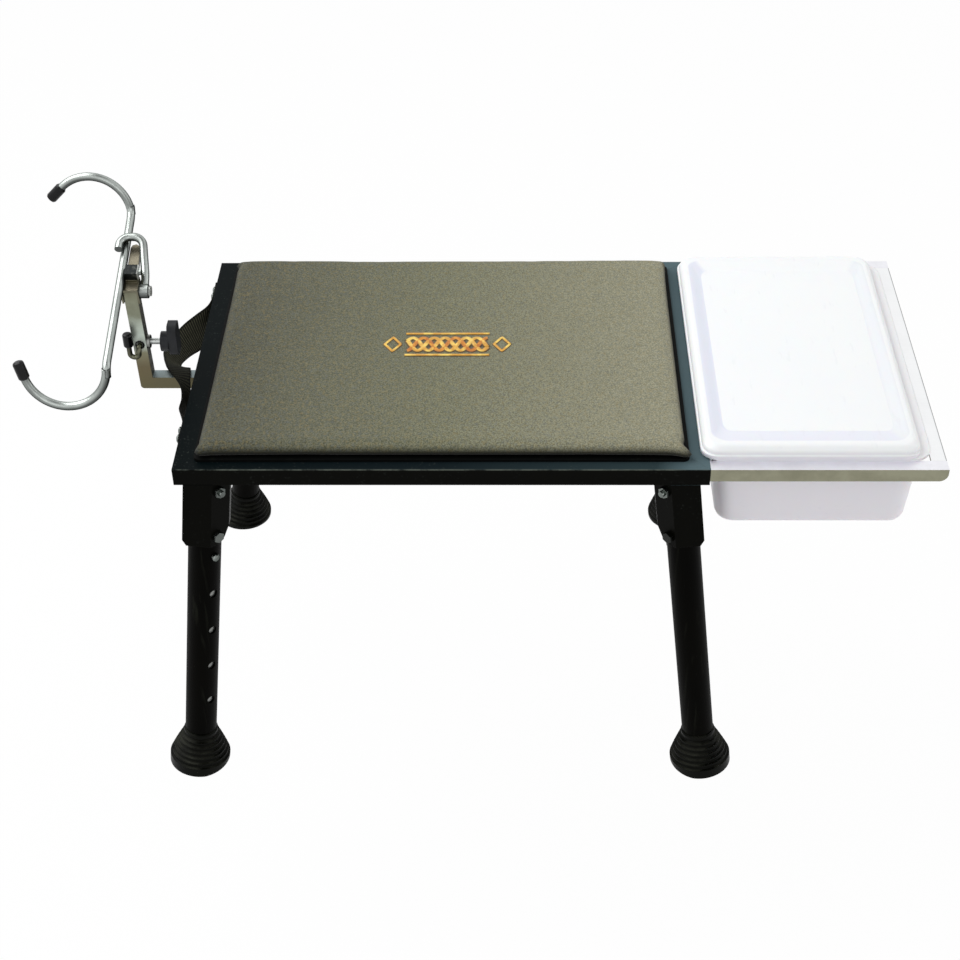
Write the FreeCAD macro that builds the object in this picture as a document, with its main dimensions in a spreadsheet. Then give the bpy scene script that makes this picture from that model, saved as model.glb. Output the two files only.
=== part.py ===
import FreeCAD, Part
import math
import os
import re

import Sketcher
from FreeCAD import Placement, Rotation, Vector

# Fishing seat: a padded board on a steel frame with four telescopic legs, a tray with
# a bait box on its right side and a rod rest on its left side. Millimetres, +Z up.
# Sizes are worked in a frame with X = 0 in the middle of the seat, Y = 0 at its front
# edge and Z = 0 on the ground. At the end all is moved so that the origin lies in the
# middle of the whole outline, on the ground.

os.makedirs("parts", exist_ok=True)
doc = FreeCAD.newDocument("fishing_seat")
sheet = doc.addObject("Spreadsheet::Sheet", "Sizes")

# Driving dimensions
SIZES = {
    # seat frame of angle rails
    "frame_width": 500, "frame_depth": 360, "frame_top": 370,
    "rail_lip": 18, "rail_flange": 20, "rail_wall": 2,
    # seat board and pad
    "board_inset_x": 18.5, "board_inset_y": 12, "board_thick": 3, "board_radius": 6,
    "pad_inset": 2.5, "pad_edge": 7.5, "pad_crown": 5.5, "pad_radius": 12, "pad_roll": 3.5,
    "screw_shank": 4, "screw_gap": 0.1, "screw_head": 8, "screw_head_high": 2.5, "screw_short": 0.6,
    "screw_edge": 16, "screw_end": 100,
    # legs
    "leg_top_inset_x": 30, "leg_top_inset_y": 21, "foot_reach_x": 12, "foot_reach_y": 18,
    "outer_tube": 32, "inner_tube": 28, "tube_running": 0.08, "inner_wall": 1.5,
    "outer_start": 43, "outer_short": 1, "inner_start": 12, "inner_over": 18.3,
    "hole_pitch": 45, "hole_count": 4, "row_hole": 8.6, "button_down": 102.8,
    "upper_bolt_down": 25, "lower_bolt_down": 76.5,
    "leg_bolt": 6, "bolt_clearance": 0.1, "bolt_head": 10, "bolt_head_high": 4, "bolt_tail": 3,
    "thread_gap": 0.02, "bore_gap": 0.05,
    # snap buttons and their springs
    "button": 8, "button_running": 0.1, "button_proud": 4.5, "button_round": 1.8,
    "button_flange": 11, "button_flange_thick": 1.2,
    "leaf_wide": 6, "leaf_thick": 0.8, "leaf_drop": 40, "leaf_rise": 5,
    # leg brackets
    "bracket_wall": 3, "bracket_wide": 42.5, "bracket_deep": 26, "bracket_gap": 0.2,
    "bracket_down": 87, "bracket_corner_in": 10, "bracket_corner_rise": 18, "bracket_corner_out": 4,
    "cut_over": 1, "cut_skin": 0.001,
    # rubber feet
    "foot_collar": 17.3, "foot_top": 41.5, "foot_collar_high": 3, "foot_radius": 31, "foot_round": 4,
    "foot_rings": 6, "foot_groove": 2.2, "foot_swell": 0.15, "foot_bead": 1.2,
    "foot_under": 6, "foot_rim_high": 8,
    # bait box tray
    "tray_gap": 5.5, "tray_flange": 13.5, "tray_side_flange": 14.5, "tray_lip": 13.5,
    "tray_wall": 2, "tray_corner": 8, "tray_tab": 30,
    "tray_screw_edge": 6, "tray_screw_pitch": 13, "tray_screw_out": 2,
    # bait box: its opening, then how far it draws in to its floor
    "box_gap": 3, "box_wide": 196, "box_front": 15.5, "box_deep": 80, "box_wall": 1.8,
    "box_radius": 18, "box_slope": 4, "box_slope_left": 8, "box_slope_right": 6,
    "box_floor_round": 5, "box_floor_turn": 1.5,
    "rim_out_left": 9, "rim_out_right": 7.5, "rim_front": 12.2, "rim_back_gap": 8,
    "rim_thick": 2.2, "rim_radius": 20,
    # bait box lid
    "lid_out_left": 2, "lid_in_right": 9.5, "lid_front": 12.4, "lid_radius": 15,
    "lid_edge": 8.5, "lid_high": 13, "lid_slope": 6, "lid_ridge": 6, "lid_side_band": 10,
    "lid_end_band": 20, "lid_panel_deep": 3, "lid_wall": 1.6, "lid_plug": 2, "lid_plug_gap": 1,
    # rod rest bracket on the left rail
    "bar_side": 13, "bar_reach": 55, "bar_lean": 2.5, "bar_offset": 22.5, "bar_foot_drop": 16,
    "bar_corner": 3.5, "pivot_rise": 95, "rest_screw_long": 24,
    "pivot_bolt": 6, "pivot_nut": 6, "pivot_cap": 2.5, "rest_tilt": 13.8,
    # tilting head, in its own frame at the pivot
    "cheek_thick": 1.8, "cheek_gap": 0.4, "cheek_deep": 18, "cheek_low": 8,
    "plate_low": 7.2, "plate_thick": 3, "wire_beside": 7.9, "wire_gap": 0.2,
    "tongue_start": 1.6, "tongue_long": 50, "tongue_base": 7.4, "tongue_tip": 5, "tongue_round": 5,
    "block_wide": 12.6, "block_start": 2.1, "block_deep": 12.3, "block_high": 8.4, "block_bolt": 5,
    # rod hook bent from one wire, from its front knee to its rear knee
    "hook_wire": 8, "hook_radius": 39, "hook_lean": 10, "knee_radius": 14,
    "front_knee_out": 2.5, "front_knee_run": 110.5, "front_knee_drop": 12.6,
    "rear_knee_out": 5, "rear_knee_run": 83.5, "rear_knee_rise": 36,
    "front_sweep": 165, "front_tip": 15, "rear_sweep": 134, "rear_tip": 15,
    "hook_cap": 10.8, "hook_cap_long": 18, "hook_cap_end": 2.5,
    # bail that holds the hook on the head
    "bail_wire": 8, "bail_left": 13, "bail_right": 8.6, "bail_back": 50, "bail_radius": 10.2,
    "bail_level": 23.2, "bail_end": 34, "bail_end_drop": 0.8, "bail_elbow": 15, "bail_elbow_rise": 6.8,
    "bail_sweep": 60, "bail_gap": 0.1, "eye_radius": 7,
    # clamp screw, knob and small hook
    "clamp_rise": 36.6, "clamp_shift": 1, "clamp_bolt": 6, "clamp_reach": 27.5, "clamp_round": 0.8,
    "knob_collar": 20, "knob_collar_long": 8, "knob_floor": 1,
    "wing_thick": 9, "wing_wide": 17, "wing_top": 21.5, "wing_low": 12.8, "wing_round": 5.1,
    "washer": 13, "washer_thick": 3, "washer_gap": 0.2,
    "small_wire": 5, "small_bend": 4.4, "small_hook_out": 8, "small_hook_drop": 9,
    "small_hook_side": 9, "small_hook_rise": 17, "small_hook_tail": 4,
    "small_cap": 9.6, "small_cap_long": 15, "small_cap_end": 2,
    # carry strap: its webbing, how far it stands out, and its rivets
    "strap_wide": 30, "strap_thick": 1.8, "strap_gap": 0.1, "strap_bulge": 36, "strap_end": 8,
    "strap_front": 56, "strap_back_gap": 45,
    "rivet": 4, "rivet_head": 9, "rivet_high": 2, "rivet_pitch": 12,
}

# Sizes and places that follow from them
DERIVED = {
    "board_width": "frame_width - 2 * board_inset_x",
    "board_depth": "frame_depth - 2 * board_inset_y",
    "pad_width": "board_width - 2 * pad_inset",
    "pad_depth": "board_depth - 2 * pad_inset",
    "screw_spread": "frame_width / 2 - screw_end",
    "outer_end": "frame_top - outer_short",
    "button_at": "frame_top - button_down",
    "inner_end": "button_at + inner_over",
    "upper_bolt_at": "frame_top - upper_bolt_down",
    "lower_bolt_at": "frame_top - lower_bolt_down",
    "bracket_bottom": "frame_top - bracket_down",
    "box_left": "frame_width / 2 + box_gap",
    "box_right": "box_left + box_wide",
    "box_left_low": "box_left + box_slope_left",
    "box_right_low": "box_right - box_slope_right",
    "box_low": "frame_top - box_deep",
    "tray_reach": "box_gap + box_wide + tray_gap + tray_side_flange",
    "rim_left": "box_left - rim_out_left",
    "rim_right": "box_right + rim_out_right",
    "rim_back": "frame_depth - rim_back_gap",
    "lid_left": "rim_left - lid_out_left",
    "lid_right": "rim_right - lid_in_right",
    "bar_place": "frame_depth / 2 - bar_offset",
    "bar_foot_low": "frame_top - bar_foot_drop",
    "pivot_high": "frame_top + pivot_rise",
    "front_hook_x": "frame_width / 2 + bar_reach + front_knee_out",
    "front_hook_y": "bar_place - front_knee_run",
    "front_hook_z": "pivot_high - front_knee_drop",
    "rear_hook_x": "frame_width / 2 + bar_reach + rear_knee_out",
    "rear_hook_y": "bar_place + rear_knee_run",
    "rear_hook_z": "pivot_high + rear_knee_rise",
    "clamp_high": "frame_top + clamp_rise",
    "strap_rear": "frame_depth - strap_back_gap",
}

for row, (alias, number) in enumerate(SIZES.items(), start=1):
    sheet.set("A%d" % row, alias)
    sheet.set("B%d" % row, str(number))
    sheet.setAlias("B%d" % row, alias)
doc.recompute()


def bound(text):
    """The text as an expression on the sheet's cells."""
    def cell(match):
        name = match.group()
        if name in DERIVED:
            return "(%s)" % bound(DERIVED[name])
        return "Sizes." + name if name in SIZES else name
    return re.sub(r"[a-z_]+", cell, str(text))


def value(text):
    """The number that an expression gives."""
    return float(sheet.evalExpression(bound(text)))


class Sizes:
    """The sizes as attributes."""
    def __getattr__(self, alias):
        return value(alias)


at = Sizes()
NEAR = 0.001


# Sketches and features

def new_body(name):
    body = doc.addObject("PartDesign::Body", name)
    body.Label = name
    return body


def new_sketch(body, plane, offset=None):
    """A sketch on one of the body's own origin planes, moved along its normal by an expression."""
    sketch = body.newObject("Sketcher::SketchObject", body.Name + "_sketch")
    origin_plane = [f for f in body.Origin.OriginFeatures if f.Role == plane][0]
    sketch.AttachmentSupport = [(origin_plane, "")]
    sketch.MapMode = "FlatFace"
    if offset is not None:
        sketch.setExpression("AttachmentOffset.Base.z", bound(offset))
    return sketch


def hold(sketch, kind, geometry, point, expression):
    """One bound distance from the sketch's origin."""
    index = sketch.addConstraint(Sketcher.Constraint(kind, -1, 1, geometry, point, value(expression)))
    sketch.setExpression("Constraints[%d]" % index, bound(expression))


def polygon(sketch, corners):
    """A closed outline of straight lines, each corner bound to sizes."""
    points = [Vector(value(x), value(y), 0) for x, y in corners]
    first = sketch.GeometryCount
    count = len(points)
    for i in range(count):
        sketch.addGeometry(Part.LineSegment(points[i], points[(i + 1) % count]), False)
    for i in range(count):
        sketch.addConstraint(Sketcher.Constraint("Coincident", first + i, 2, first + (i + 1) % count, 1))
    for i, (x, y) in enumerate(corners):
        hold(sketch, "DistanceX", first + i, 1, x)
        hold(sketch, "DistanceY", first + i, 1, y)


def circle(sketch, x, y, radius):
    ring = Part.Circle(Vector(value(x), value(y), 0), Vector(0, 0, 1), value(radius))
    index = sketch.addGeometry(ring, False)
    hold(sketch, "DistanceX", index, 3, x)
    hold(sketch, "DistanceY", index, 3, y)
    size = sketch.addConstraint(Sketcher.Constraint("Radius", index, value(radius)))
    sketch.setExpression("Constraints[%d]" % size, bound(radius))


def rounded(sketch, left, right, low, high, radius):
    """A rectangle with four rounded corners."""
    near = "(%s) + (%s)"
    far = "(%s) - (%s)"
    corners = [(far % (right, radius), far % (high, radius)), (near % (left, radius), far % (high, radius)),
               (near % (left, radius), near % (low, radius)), (far % (right, radius), near % (low, radius))]
    first = sketch.GeometryCount
    quarter = math.pi / 2
    for i, (x, y) in enumerate(corners):
        full = Part.Circle(Vector(value(x), value(y), 0), Vector(0, 0, 1), value(radius))
        sketch.addGeometry(Part.ArcOfCircle(full, i * quarter, (i + 1) * quarter), False)
    ends = [sketch.Geometry[first + i] for i in range(4)]
    for i in range(4):
        sketch.addGeometry(Part.LineSegment(ends[i].EndPoint, ends[(i + 1) % 4].StartPoint), False)
    for i in range(4):
        sketch.addConstraint(Sketcher.Constraint("Tangent", first + i, 2, first + 4 + i, 1))
        sketch.addConstraint(Sketcher.Constraint("Tangent", first + 4 + i, 2, first + (i + 1) % 4, 1))
    for i, (x, y) in enumerate(corners):
        hold(sketch, "DistanceX", first + i, 3, x)
        hold(sketch, "DistanceY", first + i, 3, y)
        size = sketch.addConstraint(Sketcher.Constraint("Radius", first + i, value(radius)))
        sketch.setExpression("Constraints[%d]" % size, bound(radius))


def feature(body, kind, profile, name):
    item = body.newObject("PartDesign::" + kind, body.Name + "_" + name)
    item.Profile = profile
    profile.Visibility = False
    return item


def pad(body, sketch, length, name="pad", middle=False, backward=False):
    item = feature(body, "Pad", sketch, name)
    item.setExpression("Length", bound(length))
    item.Reversed = backward
    if middle:
        item.SideType = "Symmetric"
    doc.recompute()
    return item


def cut(body, sketch, name="cut", length=None, both=False, backward=False):
    """A pocket that has to take material away, right through unless a length is given."""
    before = body.Tip.Shape.Volume
    item = feature(body, "Pocket", sketch, name)
    if both:
        item.SideType = "Symmetric"
    if length is None:
        item.Type = "ThroughAll"
    else:
        item.setExpression("Length", bound(length))
    item.Reversed = backward
    doc.recompute()
    if item.Shape.Volume > before - 0.01:
        raise ValueError("%s cuts nothing" % item.Name)
    return item


def spin(body, sketch, name="turned", axis="V_Axis"):
    item = feature(body, "Revolution", sketch, name)
    item.ReferenceAxis = (sketch, [axis])
    doc.recompute()
    return item


def loft(body, sketches, name="loft", kind="AdditiveLoft", ruled=True):
    item = feature(body, kind, sketches[0], name)
    item.Sections = sketches[1:]
    item.Ruled = ruled
    doc.recompute()
    return item


def fillet(body, x, z, radius):
    """Rounds the body's edge along Y that runs through a point of the XZ plane."""
    spot = Vector(value(x), 0, value(z))
    base = body.Tip
    names = []
    for i, edge in enumerate(base.Shape.Edges, start=1):
        ends = [vertex.Point for vertex in edge.Vertexes]
        if all(math.hypot(point.x - spot.x, point.z - spot.z) < NEAR for point in ends):
            names.append("Edge%d" % i)
    item = body.newObject("PartDesign::Fillet", body.Name + "_fillet")
    item.Base = (base, names)
    item.setExpression("Radius", bound(radius))
    doc.recompute()


def turned(name, corners):
    """A body of revolution about its own Z axis from an outline in the XZ plane."""
    body = new_body(name)
    sketch = new_sketch(body, "XZ_Plane")
    polygon(sketch, corners)
    spin(body, sketch)
    return body


def plain(name, shape):
    """A piece whose shape is made directly from the sizes."""
    item = doc.addObject("Part::Feature", name)
    item.Label = name
    item.Shape = shape
    return item


parts = []


def keep(item):
    parts.append(item)
    return item


# Seat frame: four mitred angle rails

def rail(name, side, turn, offset, down_holes=(), side_holes=()):
    """One rail along X with its lip at Y = 0, mitred at both ends, then turned into place.

    Screw holes go down through its flange or sideways through its lip, at places along the rail."""
    half = "(%s) / 2" % side
    body = new_body(name)
    flange = new_sketch(body, "XY_Plane")
    polygon(flange, [("-" + half, 0), (half, 0), (half + " - rail_flange", "rail_flange"),
                     ("-%s + rail_flange" % half, "rail_flange")])
    pad(body, flange, "rail_wall", "flange", backward=True)
    lip = new_sketch(body, "XY_Plane")
    polygon(lip, [("-" + half, 0), (half, 0), (half + " - rail_wall", "rail_wall"),
                  ("-%s + rail_wall" % half, "rail_wall")])
    pad(body, lip, "rail_lip", "lip", backward=True)
    if down_holes:
        holes = new_sketch(body, "XY_Plane")
        for x in down_holes:
            circle(holes, x, "screw_edge", "screw_shank / 2 + screw_gap")
        cut(body, holes, "down_holes", both=True)
    if side_holes:
        holes = new_sketch(body, "XZ_Plane")
        for x, height in side_holes:
            circle(holes, x, "%s - frame_top" % height, "screw_shank / 2 + screw_gap")
        cut(body, holes, "side_holes", both=True)
    body.Placement = Placement(offset, Rotation(Vector(0, 0, 1), turn))
    return keep(body)


middle_y = at.frame_depth / 2
half_width = at.frame_width / 2
board_holes = ["-screw_spread", 0, "screw_spread"]
tray_level = "(frame_top - tray_lip / 2)"
tray_holes = [(sign + "(frame_depth / 2 - tray_tab + %s)" % step, tray_level) for sign in ("", "-")
              for step in ("tray_screw_edge", "tray_screw_edge + tray_screw_pitch")]
rivet_spots = ["strap_rear", "strap_rear - rivet_pitch", "strap_front + rivet_pitch", "strap_front"]
rest_level = "(bar_foot_low + bar_side / 2)"
strap_holes = [("frame_depth / 2 - (%s)" % spot, tray_level) for spot in rivet_spots]
rest_hole = ("frame_depth / 2 - bar_place", rest_level)
rail("front_rail", "frame_width", 0, Vector(0, 0, at.frame_top), down_holes=board_holes)
rail("back_rail", "frame_width", 180, Vector(0, at.frame_depth, at.frame_top), down_holes=board_holes)
rail("left_rail", "frame_depth", -90, Vector(-half_width, middle_y, at.frame_top),
     side_holes=strap_holes + [rest_hole])
rail("right_rail", "frame_depth", 90, Vector(half_width, middle_y, at.frame_top), side_holes=tray_holes)

# Seat board, its screws and the pad

board = keep(new_body("seat_board"))
outline = new_sketch(board, "XY_Plane", "frame_top")
rounded(outline, "-board_width / 2", "board_width / 2", "(frame_depth - board_depth) / 2",
        "(frame_depth + board_depth) / 2", "board_radius")
pad(board, outline, "board_thick")
pilots = new_sketch(board, "XY_Plane", "frame_top")
for x in board_holes:
    circle(pilots, x, "screw_edge", "screw_shank / 2")
    circle(pilots, x, "frame_depth - screw_edge", "screw_shank / 2")
cut(board, pilots, "pilots", length="board_thick - screw_short", backward=True)


def cushion():
    """The pad: drawn in under its edge, rolled over the rim and crowned in the middle."""
    body = new_body("seat_pad")
    levels = [
        ("0", "pad_roll"), ("0.32 * pad_edge", "0.17 * pad_roll"), ("0.62 * pad_edge", "0"),
        ("pad_edge", "0.63 * pad_roll"), ("pad_edge + 0.42 * pad_crown", "4 * pad_roll"),
        ("pad_edge + 0.8 * pad_crown", "13 * pad_roll"), ("pad_edge + pad_crown", "28 * pad_roll"),
    ]
    sections = []
    for rise, inset in levels:
        sketch = new_sketch(body, "XY_Plane", "frame_top + board_thick + " + rise)
        rounded(sketch, "-pad_width / 2 + " + inset, "pad_width / 2 - " + inset,
                "(frame_depth - pad_depth) / 2 + " + inset, "(frame_depth + pad_depth) / 2 - " + inset,
                "pad_radius + 0.3 * " + inset)
        sections.append(sketch)
    loft(body, sections)
    return body


keep(cushion())


def screw(name, shank, head, head_high, long):
    """A pan head screw pointing up from the underside of its head at Z = 0."""
    return turned(name, [(0, "-(%s)" % head_high), ("0.75 * %s / 2" % head, "-(%s)" % head_high),
                         ("%s / 2" % head, "-0.6 * (%s)" % head_high), ("%s / 2" % head, 0),
                         ("%s / 2" % shank, 0), ("%s / 2" % shank, long), (0, long)])


def group(name, source, places):
    """Like fasteners in one node, each a solid of its own."""
    doc.recompute()
    copies = []
    for place in places:
        copy = source.Shape.copy()
        copy.Placement = place
        copies.append(copy)
    return keep(plain(name, Part.makeCompound(copies)))


under = at.frame_top - at.rail_wall
board_screw = screw("board_screw", "screw_shank", "screw_head", "screw_head_high",
                    "rail_wall + board_thick - screw_short")
board_places = []
for x in board_holes:
    for y in (at.screw_edge, at.frame_depth - at.screw_edge):
        board_places.append(Placement(Vector(value(x), y, under), Rotation()))
group("board_screws", board_screw, board_places)

# Legs

corners = {"front_left": (-1, -1), "front_right": (1, -1), "back_left": (-1, 1), "back_right": (1, 1)}


def leg_line(side, end):
    """Where a leg's axis meets the ground and the frame's top."""
    low = Vector(side * (half_width + at.foot_reach_x), middle_y + end * (middle_y + at.foot_reach_y), 0)
    top = Vector(side * (half_width - at.leg_top_inset_x),
                 middle_y + end * (middle_y - at.leg_top_inset_y), at.frame_top)
    return low, top


def leg_frame(side, end, level):
    """A frame on the leg's axis at the ground, its X as near as can be to a level direction."""
    low, top = leg_line(side, end)
    axis = (top - low).normalize()
    x = (level - axis * level.dot(axis)).normalize()
    y = axis.cross(x)
    return Placement(low, Rotation(x, y, axis, "ZXY"))


def bolt_way(side, end):
    """The direction across a leg that its bolts point at: the middle of its bracket's facet."""
    facet = leg_frame(-1, -1, Vector(1, 0, 0)).Rotation.multVec(Vector(1, -1, 0))
    return Vector(-side * facet.x, -end * facet.y, facet.z)


def row_way(side, end):
    """The direction that a leg's row of holes faces: to the front on the left, to the back on the right."""
    low, top = leg_line(side, end)
    if side == end:
        return bolt_way(side, end)
    return bolt_way(side, end).cross(top - low)


def outer_leg(name, side, end):
    body = new_body(name + "_outer_tube")
    ring = new_sketch(body, "XY_Plane", "outer_start")
    circle(ring, 0, 0, "outer_tube / 2")
    circle(ring, 0, 0, "inner_tube / 2 + tube_running")
    pad(body, ring, "outer_end - outer_start", "tube")
    row = new_sketch(body, "YZ_Plane")
    for i in range(int(at.hole_count) + 1):
        circle(row, 0, "button_at - %d * hole_pitch" % i, "row_hole / 2")
    cut(body, row, "row", length="outer_tube", backward=True)
    across = new_sketch(body, "YZ_Plane" if side == end else "XZ_Plane")
    circle(across, 0, "upper_bolt_at", "leg_bolt / 2 + bolt_clearance")
    circle(across, 0, "lower_bolt_at", "leg_bolt / 2 + bolt_clearance")
    cut(body, across, "bolt_holes", both=True)
    body.Placement = leg_frame(side, end, row_way(side, end))
    return keep(body)


def inner_leg(name, side, end):
    body = new_body(name + "_inner_tube")
    ring = new_sketch(body, "XY_Plane", "inner_start")
    circle(ring, 0, 0, "inner_tube / 2")
    circle(ring, 0, 0, "inner_tube / 2 - inner_wall")
    pad(body, ring, "inner_end - inner_start", "tube")
    hole = new_sketch(body, "YZ_Plane")
    circle(hole, 0, "button_at", "button / 2 + button_running")
    cut(body, hole, "button_hole", length="inner_tube", backward=True)
    body.Placement = leg_frame(side, end, row_way(side, end))
    return keep(body)


def bell_radius(depth):
    """A foot's radius between its collar, where the depth is 0, and its rim, where it is 1."""
    swelling = math.sin(math.pi / 2 * depth) - depth
    return "(foot_collar + (foot_radius - foot_collar) * (%.4f + foot_swell * %.4f))" % (depth, swelling)


def foot_profile():
    """Half outline of a rubber foot: collar, ringed bell and rim, with a blind bore for the tube."""
    rings = int(at.foot_rings)
    top = "(foot_top - foot_collar_high)"
    points = [(0, "-foot_under"), ("foot_radius - foot_round", "-foot_under"),
              ("foot_radius", "foot_round - foot_under"), ("foot_radius", "foot_rim_high")]
    for i in range(rings):
        low = "(foot_rim_high + (%s - foot_rim_high) * %d / %d)" % (top, i, rings)
        step = "((%s - foot_rim_high) / %d)" % (top, rings)
        wide = bell_radius(1 - i / rings)
        near = bell_radius(1 - (i + 1) / rings)
        points.append((wide + " - foot_groove", low + " + 0.15 * " + step))
        points.append((near + " - 0.8 * foot_groove", low + " + 0.5 * " + step))
        points.append((near, low + " + 0.65 * " + step))
        if i < rings - 1:
            points.append((near, low + " + " + step))
    points += [("foot_collar", top), ("foot_collar", "foot_top - foot_bead"),
               ("foot_collar - foot_bead", "foot_top"),
               ("inner_tube / 2", "foot_top"), ("inner_tube / 2", "inner_start"), (0, "inner_start")]
    return points


def rubber_foot(name, side, end):
    """A foot along its leg, cut level where it stands."""
    blank = turned(name + "_foot_blank", foot_profile())
    blank.Placement = leg_frame(side, end, row_way(side, end))
    ground = doc.addObject("Part::Box", name + "_ground")
    ground.setExpression("Length", bound("4 * foot_radius"))
    ground.setExpression("Width", bound("4 * foot_radius"))
    ground.setExpression("Height", bound("4 * foot_under"))
    low, _ = leg_line(side, end)
    ground.Placement = Placement(low - Vector(2 * at.foot_radius, 2 * at.foot_radius, 4 * at.foot_under),
                                 Rotation())
    foot = doc.addObject("Part::Cut", name + "_foot")
    foot.Label = name + "_foot"
    foot.Base = blank
    foot.Tool = ground
    return keep(foot)


button_seat = "(sqrt((inner_tube / 2 - inner_wall)^2 - (button_flange / 2)^2) - bore_gap)"


def snap_button(name, side, end):
    """A domed button on a flange behind the inner tube's wall, along its own Z axis."""
    tip = "(outer_tube / 2 + button_proud)"
    base = "(%s - button_flange_thick)" % button_seat
    body = turned(name + "_snap_button", [
        (0, base), ("button_flange / 2", base), ("button_flange / 2", button_seat),
        ("button / 2", button_seat), ("button / 2", tip + " - button_round"),
        ("0.8 * button / 2", tip + " - button_round / 3"),
        ("0.45 * button / 2", tip), (0, tip)])
    frame = leg_frame(side, end, row_way(side, end))
    body.Placement = frame * Placement(Vector(0, 0, at.button_at), Rotation(Vector(0, 1, 0), 90))
    return keep(body)


def leaf_spring(name, side, end):
    """A leaf bent to a V inside the inner tube, one leg behind the button, one on the far wall."""
    body = new_body(name + "_snap_spring")
    near = "(%s - button_flange_thick)" % button_seat
    far = "(inner_tube / 2 - inner_wall - leaf_thick)"
    top = "(button_at + leaf_rise)"
    knee = "(button_at - leaf_rise)"
    low = "(button_at - leaf_drop)"
    side_view = new_sketch(body, "XZ_Plane")
    polygon(side_view, [(near, top), (near, knee), (0, low), ("-" + far, knee), ("-" + far, top),
                        ("-%s + leaf_thick" % far, top), ("-%s + leaf_thick" % far, knee),
                        (0, low + " + 3.2 * leaf_thick"), (near + " - leaf_thick", knee),
                        (near + " - leaf_thick", top)])
    pad(body, side_view, "leaf_wide", "leaf", middle=True)
    body.Placement = leg_frame(side, end, row_way(side, end))
    return keep(body)


def bracket_blank(name, side, end):
    """Folded channel round the leg's top with a 45 degree facet on its inner front corner.

    Own frame: Z along the leg, X towards the middle of the seat, -Y towards the seat's outside."""
    body = new_body(name + "_bracket_blank")
    near = "(outer_tube / 2 + bracket_gap)"
    out = "(%s + bracket_wall)" % near
    far = "(bracket_wide - %s)" % out
    back = "(bracket_deep - %s)" % out
    facet = "(%s + %s - %s * sqrt(2))" % (far, out, out)
    inner_facet = "(%s - bracket_wall + %s - %s * sqrt(2))" % (far, near, near)
    plan = new_sketch(body, "XY_Plane", "bracket_bottom")
    polygon(plan, [("-" + out, back), ("-" + out, "-" + out), (far + " - " + facet, "-" + out),
                   (far, "-%s + %s" % (out, facet)), (far, back), (far + " - bracket_wall", back),
                   (far + " - bracket_wall", "-%s + %s" % (near, inner_facet)),
                   (far + " - bracket_wall - " + inner_facet, "-" + near), ("-" + near, "-" + near),
                   ("-" + near, back)])
    pad(body, plan, "bracket_down + rail_flange", "channel")
    low = "bracket_bottom"
    inner = new_sketch(body, "XZ_Plane")
    under = low + " - cut_over"
    polygon(inner, [(far + " - bracket_corner_in", under), (far + " + cut_over", under),
                    (far + " + cut_over", low + " + bracket_corner_rise"),
                    (far, low + " + bracket_corner_rise"),
                    (far + " - 0.35 * bracket_corner_in", low + " + 0.35 * bracket_corner_rise"),
                    (far + " - bracket_corner_in", low)])
    cut(body, inner, "inner_corner", both=True)
    outer = new_sketch(body, "XZ_Plane")
    polygon(outer, [("-%s - cut_over" % out, under), ("-%s + bracket_corner_out" % out, under),
                    ("-%s + bracket_corner_out" % out, low),
                    ("-" + out, low + " + 1.5 * bracket_corner_out"),
                    ("-%s - cut_over" % out, low + " + 1.5 * bracket_corner_out")])
    cut(body, outer, "outer_corner", both=True)
    return body


def bracket(name, side, end):
    """The channel, bored for its bolts and seated inside the frame's lip, under its flange."""
    blank = bracket_blank(name, side, end)
    level = leg_frame(side, end, Vector(1, 0, 0))
    blank.Placement = level
    above = doc.addObject("Part::Box", name + "_above")
    above.setExpression("Length", bound("frame_width"))
    above.setExpression("Width", bound("frame_depth"))
    above.setExpression("Height", bound("rail_lip * 3"))
    above.Placement = Placement(Vector(-half_width, 0, at.frame_top - at.rail_wall), Rotation())
    lip = doc.addObject("Part::Box", name + "_lip")
    lip.setExpression("Length", bound("frame_width"))
    lip.setExpression("Width", bound("rail_lip + rail_wall"))
    lip.setExpression("Height", bound("rail_lip * 3"))
    lip.Placement = Placement(Vector(-half_width, -at.rail_lip, at.frame_top - at.rail_lip), Rotation())
    tools = [above, lip]
    for spot in ("upper_bolt_at", "lower_bolt_at"):
        bore = doc.addObject("Part::Cylinder", name + "_" + spot + "_bore")
        bore.setExpression("Radius", bound("leg_bolt / 2 + bolt_clearance"))
        bore.setExpression("Height", bound("outer_tube * 2"))
        turn = leg_frame(side, end, bolt_way(side, end))
        bore.Placement = turn * Placement(Vector(0, 0, value(spot)), Rotation(Vector(0, 1, 0), 90))
        tools.append(bore)
    void = doc.addObject("Part::MultiFuse", name + "_void")
    void.Shapes = tools
    piece = doc.addObject("Part::Cut", name + "_bracket")
    piece.Base = blank
    piece.Tool = void
    return piece


def mirrored(name, source, base, normal):
    item = doc.addObject("Part::Mirroring", name)
    item.Label = name
    item.Source = source
    item.Base = base
    item.Normal = normal
    return item


front_left = keep(bracket("front_left", -1, -1))
front_right = keep(mirrored("front_right_bracket", front_left, Vector(0, 0, 0), Vector(1, 0, 0)))
keep(mirrored("back_left_bracket", front_left, Vector(0, middle_y, 0), Vector(0, 1, 0)))
keep(mirrored("back_right_bracket", front_right, Vector(0, middle_y, 0), Vector(0, 1, 0)))

for corner, (side, end) in corners.items():
    outer_leg(corner, side, end)
    inner_leg(corner, side, end)
    rubber_foot(corner, side, end)
    snap_button(corner, side, end)
    leaf_spring(corner, side, end)

# Leg bolts and nuts: each bolt passes the facet and the tube, the upper one nut outwards

grip = "(outer_tube + bracket_gap + bracket_wall)"


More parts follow.
